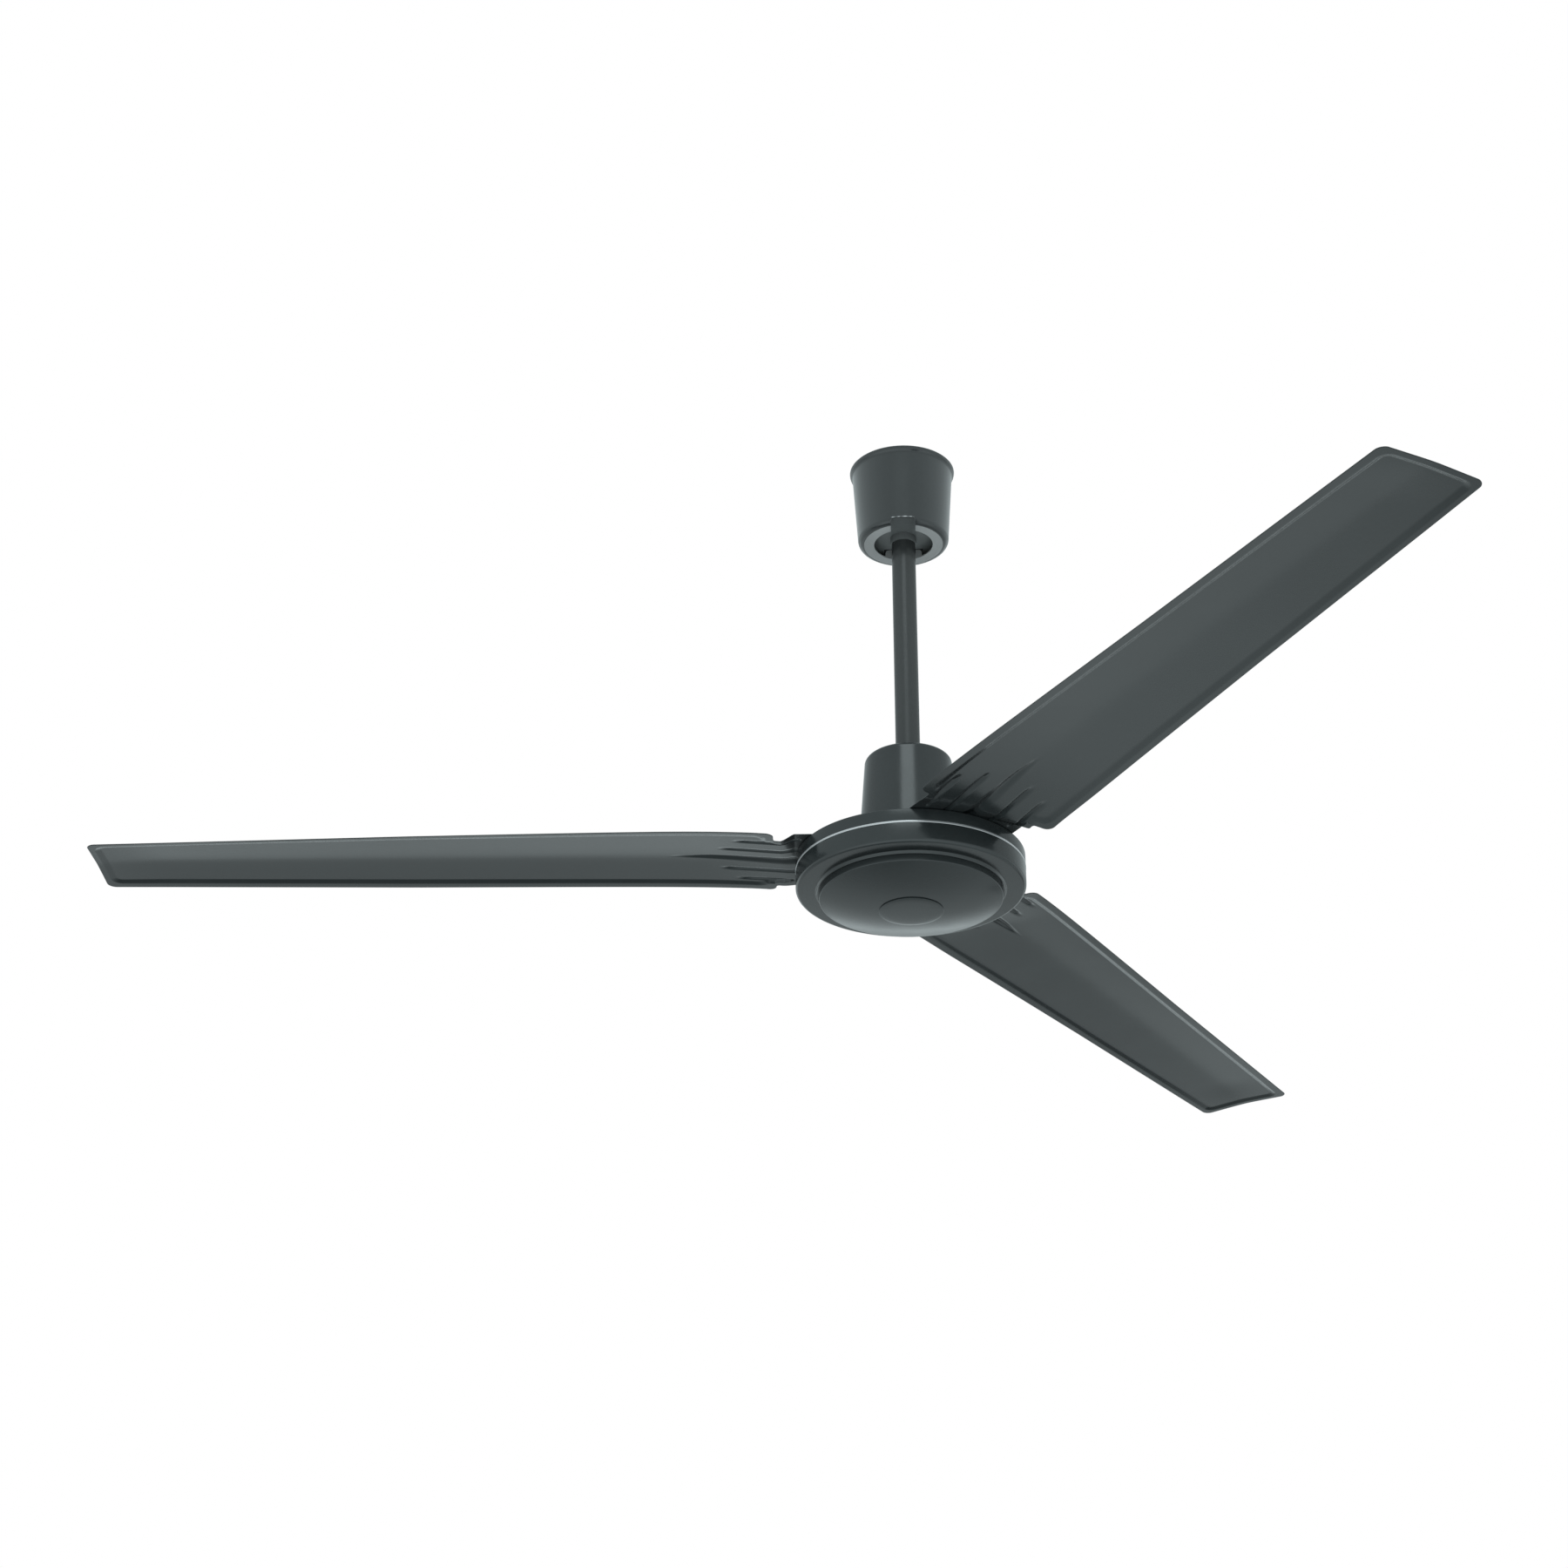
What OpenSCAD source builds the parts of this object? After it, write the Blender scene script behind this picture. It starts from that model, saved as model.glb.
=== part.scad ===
// Three-blade ceiling fan: ceiling plate and hook, hanger, two covers on a
// down rod, and an outer-rotor motor that carries three pressed-steel blades.
// Millimetres. +Z is up, z = 0 is the ceiling, the rod runs down the Z axis.
// Heights inside the hub are counted from the blade plane, at z = zb.

/* [Hanging] */
// Distance from the ceiling down to the blade plane
drop = 390.5; // [388:0.5:900]
// Outer radius of the down rod
rod_r = 10.65; // [9.5:0.05:10.65]
// Bore radius of the down rod
rod_bore_r = 8.05; // [7.8:0.05:8.3]
// Length of the ceiling plate
plate_l = 72; // [68:1:74]
// Width of the ceiling plate
plate_w = 36; // [36:1:38]
// Distance between the two ceiling screws
plate_hole_gap = 56; // [50:1:58]
// Radius of each ceiling screw hole
plate_hole_r = 2.75; // [2:0.05:3]

/* [Covers] */
// Outer radius of the top cover at its rim
canopy_rim_r = 47.4; // [46.8:0.05:48.2]
// Outer radius of the top cover at its lower edge
canopy_low_r = 40.8; // [40.8:0.05:41.6]
// Radius of the hole in the underside of the top cover
canopy_hole_r = 26.4; // [24:0.1:28]
// Width of the notch in the top cover
notch_w = 22; // [16:1:26]
// Outer radius of the lower cover at its top
cup_top_r = 37.5; // [36.5:0.1:39]
// Outer radius of the lower cover at its mouth
cup_low_r = 43.9; // [42:0.1:46]
// Height of the top of the lower cover above the blade plane
cup_top = 93.5; // [91:0.5:96]
// Thickness of the pressed covers
sheet = 0.9; // [0.7:0.1:1.1]

/* [Hub] */
// Outer radius of the motor housing
hub_r = 98.2; // [98:0.1:104]
// Radius of the bottom cap
dome_r = 78.4; // [76:0.1:78.6]
// Radius of the plain disc at the centre of the bottom cap
disc_r = 27.5; // [20:0.5:34]

/* [Blades] */
// Radius swept by the blade tips
sweep_r = 700; // [600:5:760]
// Direction of the first blade
first_blade = 61.2; // [0:0.1:119.9]
// Reach of the lower edge of a blade from its centre line at the root
root_a = 66.9; // [64:0.1:70]
// Reach of the raised edge of a blade from its centre line at the root
root_b = 59.9; // [58:0.1:70]
// How far the lower edge draws in for each millimetre of length
taper_a = 0.0467; // [0.02:0.0001:0.05]
// How far the raised edge draws in for each millimetre of length
taper_b = 0.021; // [0.01:0.0005:0.04]
// Slope across the blade at its tip
tip_slope = 0.028; // [0:0.001:0.1]
// Extra slope across the blade at its root
root_slope = 0.030; // [0:0.001:0.1]
// Half width of the neck that joins a blade to the hub
neck_w = 50.2; // [50.2:0.1:51]
// Thickness of the blade sheet
blade_t = 0.7; // [0.6:0.1:1.2]
// Height of the pressed panel above the flat border
panel_h = 1.7; // [0.8:0.1:2]
// Height of the soft crown along the middle of the blade
crown_h = 4.5; // [1:0.1:5]
// Height of the five stiffening ribs at the root
rib_h = 2.2; // [1:0.1:3]

/* [Hidden] */
$fn = 64;

zb = -drop;                  // blade plane
paint = [0.27, 0.30, 0.30];
zinc = [0.62, 0.63, 0.64];
steel = [0.72, 0.73, 0.75];
alloy = [0.78, 0.79, 0.80];
rubber = [0.09, 0.09, 0.09];
copper = [0.72, 0.40, 0.20];

// Ceiling hardware
plate_t = 3;
bar_r = 3.5;                 // bar of the ceiling hook
reel_r = 10;                 // groove of the reel
reel_z = -22;                // axis of the reel
hook_r = reel_r + 0.1 + bar_r;
ear_x = 10.3;                // inner face of each shackle ear
ear_t = 3;
ear_w = 12;
web_z = -45.5;               // top face of the shackle web
web_t = 3;
socket_r = 13.7;
socket_end = -63;
rod_top = web_z - web_t;
rod_end = zb + 50;
up_bolt_z = -56;
low_bolt_z = zb + 66;
lead_y = 5.4;                // where the leads run in the rod
lead_x = 3;

// Top cover
c_top = -2.44;
c_low = -78.8;
c_bend = 5.2;
ring_t = 1.2;
ring_r = 35.5;

// Lower cover
cup_mouth = 7;
cup_bend = 5;
cup_hole_r = 13.3;

// Hub heights above the blade plane
h_top = -1.23;               // top face of the housing, under the blade pads
h_split = -12.2;             // joint of the two housing halves
lip_h = 1.8;                 // machined lip of the lower half at the joint
h_face = -31.6;              // lower face of the housing
h_step = -33.5;              // foot of the step round the cap
h_inner = -33.9;             // underside of the floor above the cap
h_dome = -39.5;              // rim of the cap
h_flat = -50;                // seat of the centre disc
rim_in = 90;                 // bore that holds the rotor ring
air_r = 66.4;                // outside of the stator
up_brg = -2;                 // lower face of the upper bearing
up_brg_h = 12;
low_brg = -41;
low_brg_h = 11;
teeth = 12;

// Blade
pad_in = 64;                 // inner end of the pad
joggle_0 = 98.4;             // the pad is flat up to here
joggle_1 = 110.3;            // and the blade begins here
shoulder = 115.8;            // root edge of the blade
tip_round = 7.5;
rib_a = [20.5, 40.5];        // centre lines of the ribs on side a
rib_b = [21.8, 41.4];        // and on side b
rib_w = 2.4;                 // their half width
rib_end = [163, 150];        // where they run out
wedge_end = 210;
pad_holes = [[86, 33], [86, -33], [74, 0]];

// ---------------------------------------------------------------- helpers
function arc(x, y, r, a0, a1, n) =
    [for (i = [0 : n]) let (a = a0 + (a1 - a0) * i / n) [x + r * cos(a), y + r * sin(a)]];
function rev(p) = [for (i = [len(p) - 1 : -1 : 0]) p[i]];
function clamp01(x) = min(1, max(0, x));
function ease(x) = let (t = clamp01(x)) t * t * (3 - 2 * t);
// A path moved sideways by d
function beside(p, d) = [for (i = [0 : len(p) - 1])
    let (a = p[max(0, i - 1)], b = p[min(len(p) - 1, i + 1)], t = b - a, l = norm(t))
    [p[i][0] - t[1] / l * d, p[i][1] + t[0] / l * d]];

module tube(ro, ri, z0, z1) {
    translate([0, 0, z0]) difference() {
        cylinder(r = ro, h = z1 - z0);
        translate([0, 0, -1]) cylinder(r = ri, h = z1 - z0 + 2);
    }
}
module round_rect(l, w, r) {
    square([l - 2 * r, w], center = true);
    square([l, w - 2 * r], center = true);
    for (x = [-1, 1], y = [-1, 1]) translate([x * (l / 2 - r), y * (w / 2 - r)]) circle(r = r);
}
module along_x(x0, x1, r) {
    translate([x0, 0, 0]) rotate([0, 90, 0]) cylinder(r = r, h = x1 - x0);
}
module hex_x(x0, x1, flats) {
    translate([x0, 0, 0]) rotate([0, 90, 0]) cylinder(r = flats / sqrt(3), h = x1 - x0, $fn = 6);
}
// Three side-by-side insulated wires that follow a route in the YZ plane:
// z0, then a quarter bend of radius b, out to y1 at z1
module elbow_lead(x, y0, z0, y1, z1, r, b) {
    s = z1 > z0 ? 1 : -1;
    translate([x, y0, min(z0, z1 - s * b)]) cylinder(r = r, h = abs(z1 - s * b - z0), $fn = 24);
    translate([x, y0 + b, z1 - s * b]) rotate([0, 90, 0]) rotate([0, 0, s > 0 ? 180 : 270])
        rotate_extrude(angle = 90, $fn = 48) translate([b, 0]) circle(r = r, $fn = 24);
    translate([x, y0 + b, z1]) rotate([-90, 0, 0]) cylinder(r = r, h = y1 - y0 - b, $fn = 24);
}

// ---------------------------------------------------------------- ceiling
module ceiling_plate() color(zinc)
    translate([0, 0, -plate_t]) linear_extrude(plate_t) difference() {
        round_rect(plate_l, plate_w, 5);
        for (s = [-1, 1]) translate([s * plate_hole_gap / 2, 0]) circle(r = plate_hole_r);
    }

module ceiling_hook() color(zinc) {
    for (s = [-1, 1]) translate([0, s * hook_r, reel_z])
        cylinder(r = bar_r, h = -plate_t - reel_z);
    translate([0, 0, reel_z]) rotate([0, 90, 0]) rotate([0, 0, -90])
        rotate_extrude(angle = 180) translate([hook_r, 0]) circle(r = bar_r);
}

// ---------------------------------------------------------------- hanger
module hanger_reel() color(rubber)
    translate([0, 0, reel_z]) rotate([0, 90, 0]) rotate_extrude() polygon([
        [4.1, -10], [14, -10], [15, -9], [15, -5.5], [reel_r, -4], [reel_r, 4],
        [15, 5.5], [15, 9], [14, 10], [4.1, 10]]);

module hanger_shackle() color(zinc) difference() {
    union() {
        for (s = [-1, 1]) translate([s * (ear_x + ear_t / 2), 0, 0]) {
            translate([0, 0, reel_z]) along_x(-ear_t / 2, ear_t / 2, ear_w);
            translate([-ear_t / 2, -ear_w, web_z - web_t])
                cube([ear_t, 2 * ear_w, reel_z - web_z + web_t]);
        }
        translate([-ear_x - 1, -ear_w, web_z - web_t]) cube([2 * ear_x + 2, 2 * ear_w, web_t]);
        translate([-10, ear_w - 1, web_z - web_t]) cube([20, 15, web_t]);
        translate([0, 0, socket_end]) cylinder(r = socket_r, h = web_z - socket_end);
    }
    translate([0, 0, socket_end - 1]) cylinder(r = rod_r + 0.05, h = rod_top - socket_end + 1);
    translate([0, 0, rod_top - 1]) cylinder(r = 7.6, h = web_t + 2);
    translate([0, 0, reel_z]) along_x(-20, 20, 4.1);
    translate([0, 0, up_bolt_z]) along_x(-20, 20, 3.05);
    // room for the reel and the hook above the web
    translate([-ear_x, -20, web_z]) cube([2 * ear_x, 34, 20]);
}

module bolt_x(r, x0, x1, flats, head, pin_x) {
    difference() {
        union() {
            along_x(x0, x1, r);
            hex_x(x0 - head, x0, flats);
        }
        translate([pin_x, 0, -10]) cylinder(r = 0.95, h = 20);
    }
}
h_out = ear_x + ear_t;       // outer face of the ears
module hanger_bolt() color(steel)
    translate([0, 0, reel_z]) bolt_x(4, -h_out, h_out + 12.5, 13, 5.3, h_out + 10);
module nut_x(x0, flats, h, r) difference() {
    hex_x(x0, x0 + h, flats);
    along_x(x0 - 1, x0 + h + 1, r);
}
module hanger_nut() color(steel)
    translate([0, 0, reel_z]) nut_x(h_out, 13, 6.5, 4);

coupler_r = 16;
module rod_bolts() color(steel) {
    translate([0, 0, up_bolt_z]) bolt_x(3, -socket_r, socket_r + 9, 10, 4.2, socket_r + 7);
    translate([0, 0, low_bolt_z]) bolt_x(3, -coupler_r, coupler_r + 9, 10, 4.2, coupler_r + 7);
}
module rod_nuts() color(steel) {
    translate([0, 0, up_bolt_z]) nut_x(socket_r, 10, 5, 3);
    translate([0, 0, low_bolt_z]) nut_x(coupler_r, 10, 5, 3);
}
// A split pin through the end of a bolt: straight leg, eye on top
module split_pin(x, z, r) translate([x, 0, z]) {
    translate([0, 0, -r - 3]) cylinder(r = 0.8, h = 2 * r + 4.2, $fn = 24);
    translate([0, 0, r + 2.6]) rotate([0, 90, 0]) rotate_extrude($fn = 32)
        translate([1.7, 0]) circle(r = 0.7, $fn = 16);
}
module split_pins() color(steel) {
    split_pin(h_out + 10, reel_z, 4);
    split_pin(socket_r + 7, up_bolt_z, 3);
    split_pin(coupler_r + 7, low_bolt_z, 3);
}

module terminal_block() color([0.85, 0.84, 0.80])
    translate([0, 20, web_z]) difference() {
        translate([-9, -5, 0]) cube([18, 10, 9.5]);
        for (x = [-6, 0, 6]) translate([x, 0, 4]) cylinder(r = 1.8, h = 10);
        // mouths of the three wire clamps
        for (x = [-1, 0, 1]) translate([x * lead_x, -6, 3.2]) rotate([-90, 0, 0])
            cylinder(r = 1.3, h = 5);
        translate([0, 0, 3.2]) for (x = [-6, 0, 6]) translate([x, 1, 0]) rotate([-90, 0, 0])
            cylinder(r = 1.6, h = 10);
    }

module supply_leads() color([0.6, 0.1, 0.08]) for (i = [-1, 0, 1]) {
    elbow_lead(i * lead_x, lead_y, zb + 100, 19, web_z + 3.2, 1.3, 2.8);
    elbow_lead(i * lead_x, lead_y, zb + 100, 21, zb + 47.8, 1.3, 2.8);
}

module downrod() color(paint) difference() {
    translate([0, 0, rod_end]) cylinder(r = rod_r, h = rod_top - rod_end);
    translate([0, 0, rod_end - 1]) cylinder(r = rod_bore_r, h = rod_top - rod_end + 2);
    for (z = [up_bolt_z, low_bolt_z]) translate([0, 0, z]) along_x(-20, 20, 3);
}

// ---------------------------------------------------------------- top cover
c_wall = concat(
    [[canopy_rim_r - 0.8, c_top], [canopy_rim_r, c_top - 0.9]],
    arc(canopy_rim_r - 4, c_top - 1.1, 4, 0, -45, 5),
    arc(canopy_rim_r - 4 + 8 * cos(45), c_top - 1.1 - 8 * sin(45), 4, 141, 178, 4),
    arc(canopy_low_r - c_bend, c_low + c_bend, c_bend, -4, -90, 7));
module canopy_shell(grow) rotate_extrude($fn = 96) polygon(concat(
    beside(c_wall, grow),
    [[ring_r, c_low - grow], [ring_r, c_low + ring_t], [ring_r - 4, c_low + ring_t],
     [ring_r - 4, c_low + ring_t + sheet], [canopy_low_r - 2.3, c_low + ring_t + sheet]],
    rev([for (p = beside(c_wall, -sheet)) if (p[1] > c_low + ring_t + sheet + 0.2) p])));
module notch_cut(grow, top) translate([0, -20, 0]) rotate([90, 0, 0]) linear_extrude(60) {
    translate([0, (top + c_low) / 2 - 10]) round_rect(notch_w + 2 * grow, top - c_low + 20, 2 + grow);
}
notch_top = c_low + 4.3;
module canopy() color(paint) difference() {
    union() {
        canopy_shell(0);
        // raised lip round the notch
        intersection() {
            rotate_extrude($fn = 96) polygon(concat(
                [[canopy_low_r + 1.2, c_low + 14], [canopy_low_r + 0.8, c_low + c_bend + 0.5]],
                arc(canopy_low_r - c_bend, c_low + c_bend, c_bend + 0.8, 0, -78, 6),
                [[ring_r + 0.2, c_low], [ring_r + 0.2, c_low + 0.6]],
                rev(arc(canopy_low_r - c_bend, c_low + c_bend, c_bend - 0.4, 0, -80, 6)),
                [[canopy_low_r + 0.2, c_low + 14]]));
            notch_cut(1, notch_top + 1);
        }
    }
    notch_cut(0, notch_top);
}
module canopy_ring() color([0.62, 0.63, 0.64]) difference() {
    union() {
        tube(ring_r - 0.05, canopy_hole_r, c_low, c_low + ring_t);
        // tongue turned up from the far edge of the hole
        intersection() {
            tube(canopy_hole_r + 1, canopy_hole_r, c_low + 0.2, c_low + 9.6);
            translate([0, 0, c_low]) rotate([-90, 0, 0]) linear_extrude(40)
                round_rect(33, 19, 6);
        }
    }
    notch_cut(0, notch_top);
}
strap_z = c_low + 6.8;
module canopy_strap() color(paint) difference() {
    intersection() {
        union() {
            translate([-45, -7, strap_z]) cube([90, 14, 2]);
            translate([0, 0, strap_z]) cylinder(r = 38, h = 2);
            for (s = [-1, 1]) translate([s * (canopy_low_r - 1.9), 0, strap_z + 4])
                cube([2.6, 14, 8], center = true);
        }
        rotate_extrude($fn = 96) polygon([[0, c_low + 2], [canopy_low_r - 1.25, c_low + c_bend],
            [canopy_low_r - 0.25, c_low + 22], [0, c_low + 22]]);
    }
    translate([0, 0, strap_z - 1]) cylinder(r = 11.6, h = 4);
    // clearance for the tongue, and the way to the set screw
    translate([-17.5, 18.5, strap_z - 1]) cube([35, 30, 4]);
    translate([-5, 12, strap_z - 1]) cube([10, 10, 4]);
}
boss_z = strap_z + 2;
module canopy_collar() color(paint) difference() {
    union() {
        translate([0, 0, c_low]) cylinder(r = 11.6, h = boss_z - c_low);
        translate([0, 0, boss_z]) cylinder(r = 16, h = socket_end - 1.2 - boss_z);
    }
    translate([0, 0, c_low - 1]) cylinder(r = rod_r + 0.08, h = 40);
    translate([0, 0, boss_z + 2.9]) rotate([-90, 0, 0]) cylinder(r = 2, h = 30);
}
module canopy_grub_screw() color(steel)
    translate([0, rod_r + 0.35, boss_z + 2.9]) rotate([-90, 0, 0]) difference() {
        cylinder(r = 2, h = 5.4);
        translate([0, 0, 2.9]) cylinder(r = 1.15, h = 3, $fn = 6);
    }

// ---------------------------------------------------------------- lower cover
function cup_r(z) = cup_low_r + (cup_top_r - cup_low_r) * (z - cup_mouth) / (cup_top - cup_mouth);
cup_wall = concat([[cup_low_r + 0.25, cup_mouth], [cup_low_r, cup_mouth + 1.2]],
    arc(cup_top_r - cup_bend + 0.3, cup_top - cup_bend, cup_bend, 4, 84, 9),
    [[cup_hole_r, cup_top + 0.4]]);
module lower_canopy() color(paint) translate([0, 0, zb])
    rotate_extrude($fn = 96) polygon(concat(cup_wall, rev(beside(cup_wall, sheet))));
module lower_canopy_grommet() color(rubber) translate([0, 0, zb + cup_top])
    rotate_extrude() polygon([[rod_r + 0.08, -2.2], [15.5, -2.2], [15.5, -0.9],
        [cup_hole_r, -0.9], [cup_hole_r, 0.6], [15.5, 0.6], [15.5, 1.6], [rod_r + 0.08, 2.4]]);

// ---------------------------------------------------------------- coupler
win_z = 42.5;
module shaft_coupler() color([0.30, 0.31, 0.32]) translate([0, 0, zb]) difference() {
    translate([0, 0, 28]) cylinder(r = coupler_r, h = 50);
    translate([0, 0, 50]) cylinder(r = rod_r + 0.05, h = 30);
    translate([0, 0, 44]) cylinder(r = 8, h = 10);
    translate([0, 0, 27]) cylinder(r = 8.5, h = 18);
    translate([0, 0, 66]) along_x(-20, 20, 3);
    translate([0, 0, 36]) along_x(-20, 20, 2.5);
    translate([-5.5, 0, win_z]) cube([11, 20, 7.5]);
}
module coupler_grub_screws() color(steel) translate([0, 0, zb + 36])
    for (a = [0, 180]) rotate([0, 0, a]) difference() {
        along_x(8.5, 15, 2.5);
        hex_x(12, 16, 2.6);
    }
module run_capacitor() color([0.88, 0.88, 0.86]) translate([0, 26, zb + 48]) difference() {
    linear_extrude(36, center = true) round_rect(28, 12, 2.5);
    // wire mouths
    for (i = [-1, 0, 1]) {
        translate([i * lead_x, -7, -0.2]) rotate([-90, 0, 0]) cylinder(r = 1.3, h = 2, $fn = 24);
        translate([i * 2.2, -7, -2.8]) rotate([-90, 0, 0]) cylinder(r = 0.9, h = 2, $fn = 24);
    }
}
module capacitor_bracket() color(zinc) translate([0, 0, zb]) difference() {
    translate([-9, 12, 31]) cube([18, 8, 32]);
    translate([0, 0, 30]) cylinder(r = coupler_r, h = 40);
    translate([-5.5, 0, win_z]) cube([11, 30, 7.5]);
}
module motor_leads() color([0.10, 0.12, 0.30]) translate([0, 0, zb]) for (i = [-1, 0, 1]) {
    elbow_lead(i * 2.2, 1.6, 20, 21, 45.2, 0.9, 2.2);
    elbow_lead(i * 2.2, 1.6, 20, 48, -28.4, 0.9, 2.2);
}

// ---------------------------------------------------------------- motor
module motor_shaft() color(steel) translate([0, 0, zb]) difference() {
    rotate_extrude() polygon([[0, -41.5], [7, -41.5], [7.5, -41], [7.5, -30], [9, -30], [9, -26.5],
        [10, -26.5], [10, up_brg], [8.5, up_brg], [8.5, 43.5], [8, 44], [0, 44]]);
    translate([0, 0, -30]) cylinder(r = 4.5, h = 80);
    translate([-3.6, 0, -29.8]) cube([7.2, 12, 3]);
}
module stator_core() color([0.45, 0.46, 0.48]) translate([0, 0, zb - 22]) linear_extrude(12)
    difference() {
        circle(r = air_r, $fn = 96);
        circle(r = 10);
        difference() {
            circle(r = 60);
            circle(r = 38);
            for (i = [0 : teeth - 1]) rotate(i * 360 / teeth) translate([0, -5.5]) square([80, 11]);
        }
        for (i = [0 : teeth - 1]) rotate((i + 0.5) * 360 / teeth)
            translate([56, -2]) square([20, 4]);
    }
module stator_windings() color(copper) translate([0, 0, zb - 16])
    for (i = [0 : teeth - 1]) rotate([0, 0, i * 360 / teeth]) translate([39.2, 0, 0])
        rotate([0, 90, 0]) linear_extrude(18.8) difference() {
            round_rect(21, 18.8, 4);
            square([12, 11], center = true);
        }
// Ball bearing parts: pitch radius p, ball radius b, width w
module race(ro, ri, z, w, p, b) difference() {
    tube(ro, ri, z, z + w);
    translate([0, 0, z + w / 2]) rotate_extrude() translate([p, 0]) circle(r = b + 0.1, $fn = 48);
}
module balls(z, w, p, b) for (i = [0 : 7]) rotate([0, 0, i * 45])
    translate([p, 0, z + w / 2]) sphere(r = b, $fn = 32);
module upper_bearing_inner() color(steel) translate([0, 0, zb])
    race(12.2, 8.5, up_brg, up_brg_h, 14.25, 3.3);
module upper_bearing_balls() color([0.85, 0.86, 0.88]) translate([0, 0, zb])
    balls(up_brg, up_brg_h, 14.25, 3.3);
module upper_bearing_outer() color(steel) translate([0, 0, zb]) {
    race(20, 16.3, up_brg, up_brg_h, 14.25, 3.3);
    for (z = [up_brg, up_brg + up_brg_h - 0.5]) tube(16.3, 12.6, z, z + 0.5);
}
module lower_bearing_inner() color(steel) translate([0, 0, zb])
    race(10.8, 7.5, low_brg, low_brg_h, 12.5, 2.9);
module lower_bearing_balls() color([0.85, 0.86, 0.88]) translate([0, 0, zb])
    balls(low_brg, low_brg_h, 12.5, 2.9);
module lower_bearing_outer() color(steel) translate([0, 0, zb]) {
    race(17.5, 14.2, low_brg, low_brg_h, 12.5, 2.9);
    for (z = [low_brg, low_brg + low_brg_h - 0.5]) tube(14.2, 11.2, z, z + 0.5);
}
module rotor_core() color([0.45, 0.46, 0.48]) translate([0, 0, zb])
    tube(rim_in, air_r + 0.4, -22, -10);
module rotor_end_rings() color(alloy) translate([0, 0, zb]) {
    tube(84, 68, -25, -22);
    tube(84, 68, -10, -7);
}
tie_r = 93.8;
tie_head = 2.4;              // the heads lie flush in the top face
tie_a = [for (g = [0 : 2], s = [-1, 1]) first_blade + 60 + g * 120 + s * 15];
module motor_upper_cover() color(paint) translate([0, 0, zb]) difference() {
    union() {
        rotate_extrude($fn = 96) polygon([[14, 10], [14, 12], [23, 12], [24, 11], [24, h_top],
            [hub_r - 0.9, h_top], [hub_r - 0.25, h_top - 0.25], [hub_r, h_top - 0.9],
            [hub_r, h_split + 0.5], [hub_r - 0.5, h_split], [rim_in, h_split],
            [rim_in, h_top - 2.2], [20, h_top - 2.2], [20, 10]]);
        for (a = [0 : 2], p = pad_holes) rotate([0, 0, first_blade + a * 120])
            translate([p[0], p[1], -6.9]) cylinder(r = 5, h = 5);
    }
    for (a = [0 : 2], p = pad_holes) rotate([0, 0, first_blade + a * 120])
        translate([p[0], p[1], -7.5]) cylinder(r = 2.5, h = 8, $fn = 32);
    for (a = tie_a) rotate([0, 0, a]) translate([tie_r, 0, 0]) {
        translate([0, 0, -20]) cylinder(r = 2, h = 22, $fn = 32);
        translate([0, 0, h_top - tie_head]) cylinder(r = 3.3, h = 4, $fn = 32);
    }
}
module motor_lower_cover() color(paint) translate([0, 0, zb]) difference() {
    rotate_extrude($fn = 96) polygon(concat(
        [[rim_in, h_split], [hub_r - 0.1, h_split], [hub_r + 0.2, h_split - 0.3],
         [hub_r + 0.2, h_split - lip_h + 0.3], [hub_r, h_split - lip_h], [hub_r, h_face + 0.9],
         [hub_r - 0.25, h_face + 0.25], [hub_r - 0.9, h_face], [81.5, h_face],
         [80.9, h_face - 0.3], [80.3, h_step], [79.9, h_inner], [21.5, h_inner],
         [21.5, -44.5], [20.5, -45.5], [2, -45.5], [2, -43], [8, -43], [8, -41], [17.5, -41],
         [17.5, -30], [21.5, -30], [21.5, h_inner + 2.4], [76, h_inner + 2.4],
         [84, h_face + 3.4], [87, h_face + 6], [87, -22], [rim_in, -22]]));
    for (a = tie_a) rotate([0, 0, a]) translate([tie_r, 0, -26]) cylinder(r = 2, h = 20, $fn = 32);
}
module tie_screws() color(steel) translate([0, 0, zb]) for (a = tie_a) rotate([0, 0, a])
    translate([tie_r, 0, 0]) difference() {
        union() {
            translate([0, 0, -25]) cylinder(r = 2, h = 25 + h_top - tie_head + 1, $fn = 32);
            translate([0, 0, h_top - tie_head]) cylinder(r = 3.2, h = tie_head, $fn = 32);
        }
        translate([0, 0, h_top]) cube([0.9, 8, 2], center = true);
    }
cap_top = concat([[dome_r, h_inner], [dome_r, h_dome + 0.6], [dome_r - 0.3, h_dome]],
    [for (i = [1 : 10]) let (t = i / 10, r = dome_r - 0.3 + (disc_r + 0.3 - dome_r) * t)
        [r, h_flat + (h_dome - h_flat) * (r * r - disc_r * disc_r)
            / ((dome_r - 0.3) * (dome_r - 0.3) - disc_r * disc_r)]],
    [[2.2, h_flat]]);
module dome_cap() color(paint) translate([0, 0, zb]) rotate_extrude($fn = 96)
    polygon(concat(cap_top, rev(beside(cap_top, -1.2))));
module cap_screw() color(steel) translate([0, 0, zb]) difference() {
    union() {
        translate([0, 0, h_flat]) cylinder(r = 2, h = 6.8, $fn = 32);
        translate([0, 0, h_flat - 0.9]) cylinder(r = 4, h = 0.9, $fn = 32);
    }
    translate([0, 0, h_flat - 0.9]) cube([1, 10, 0.8], center = true);
}
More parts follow.
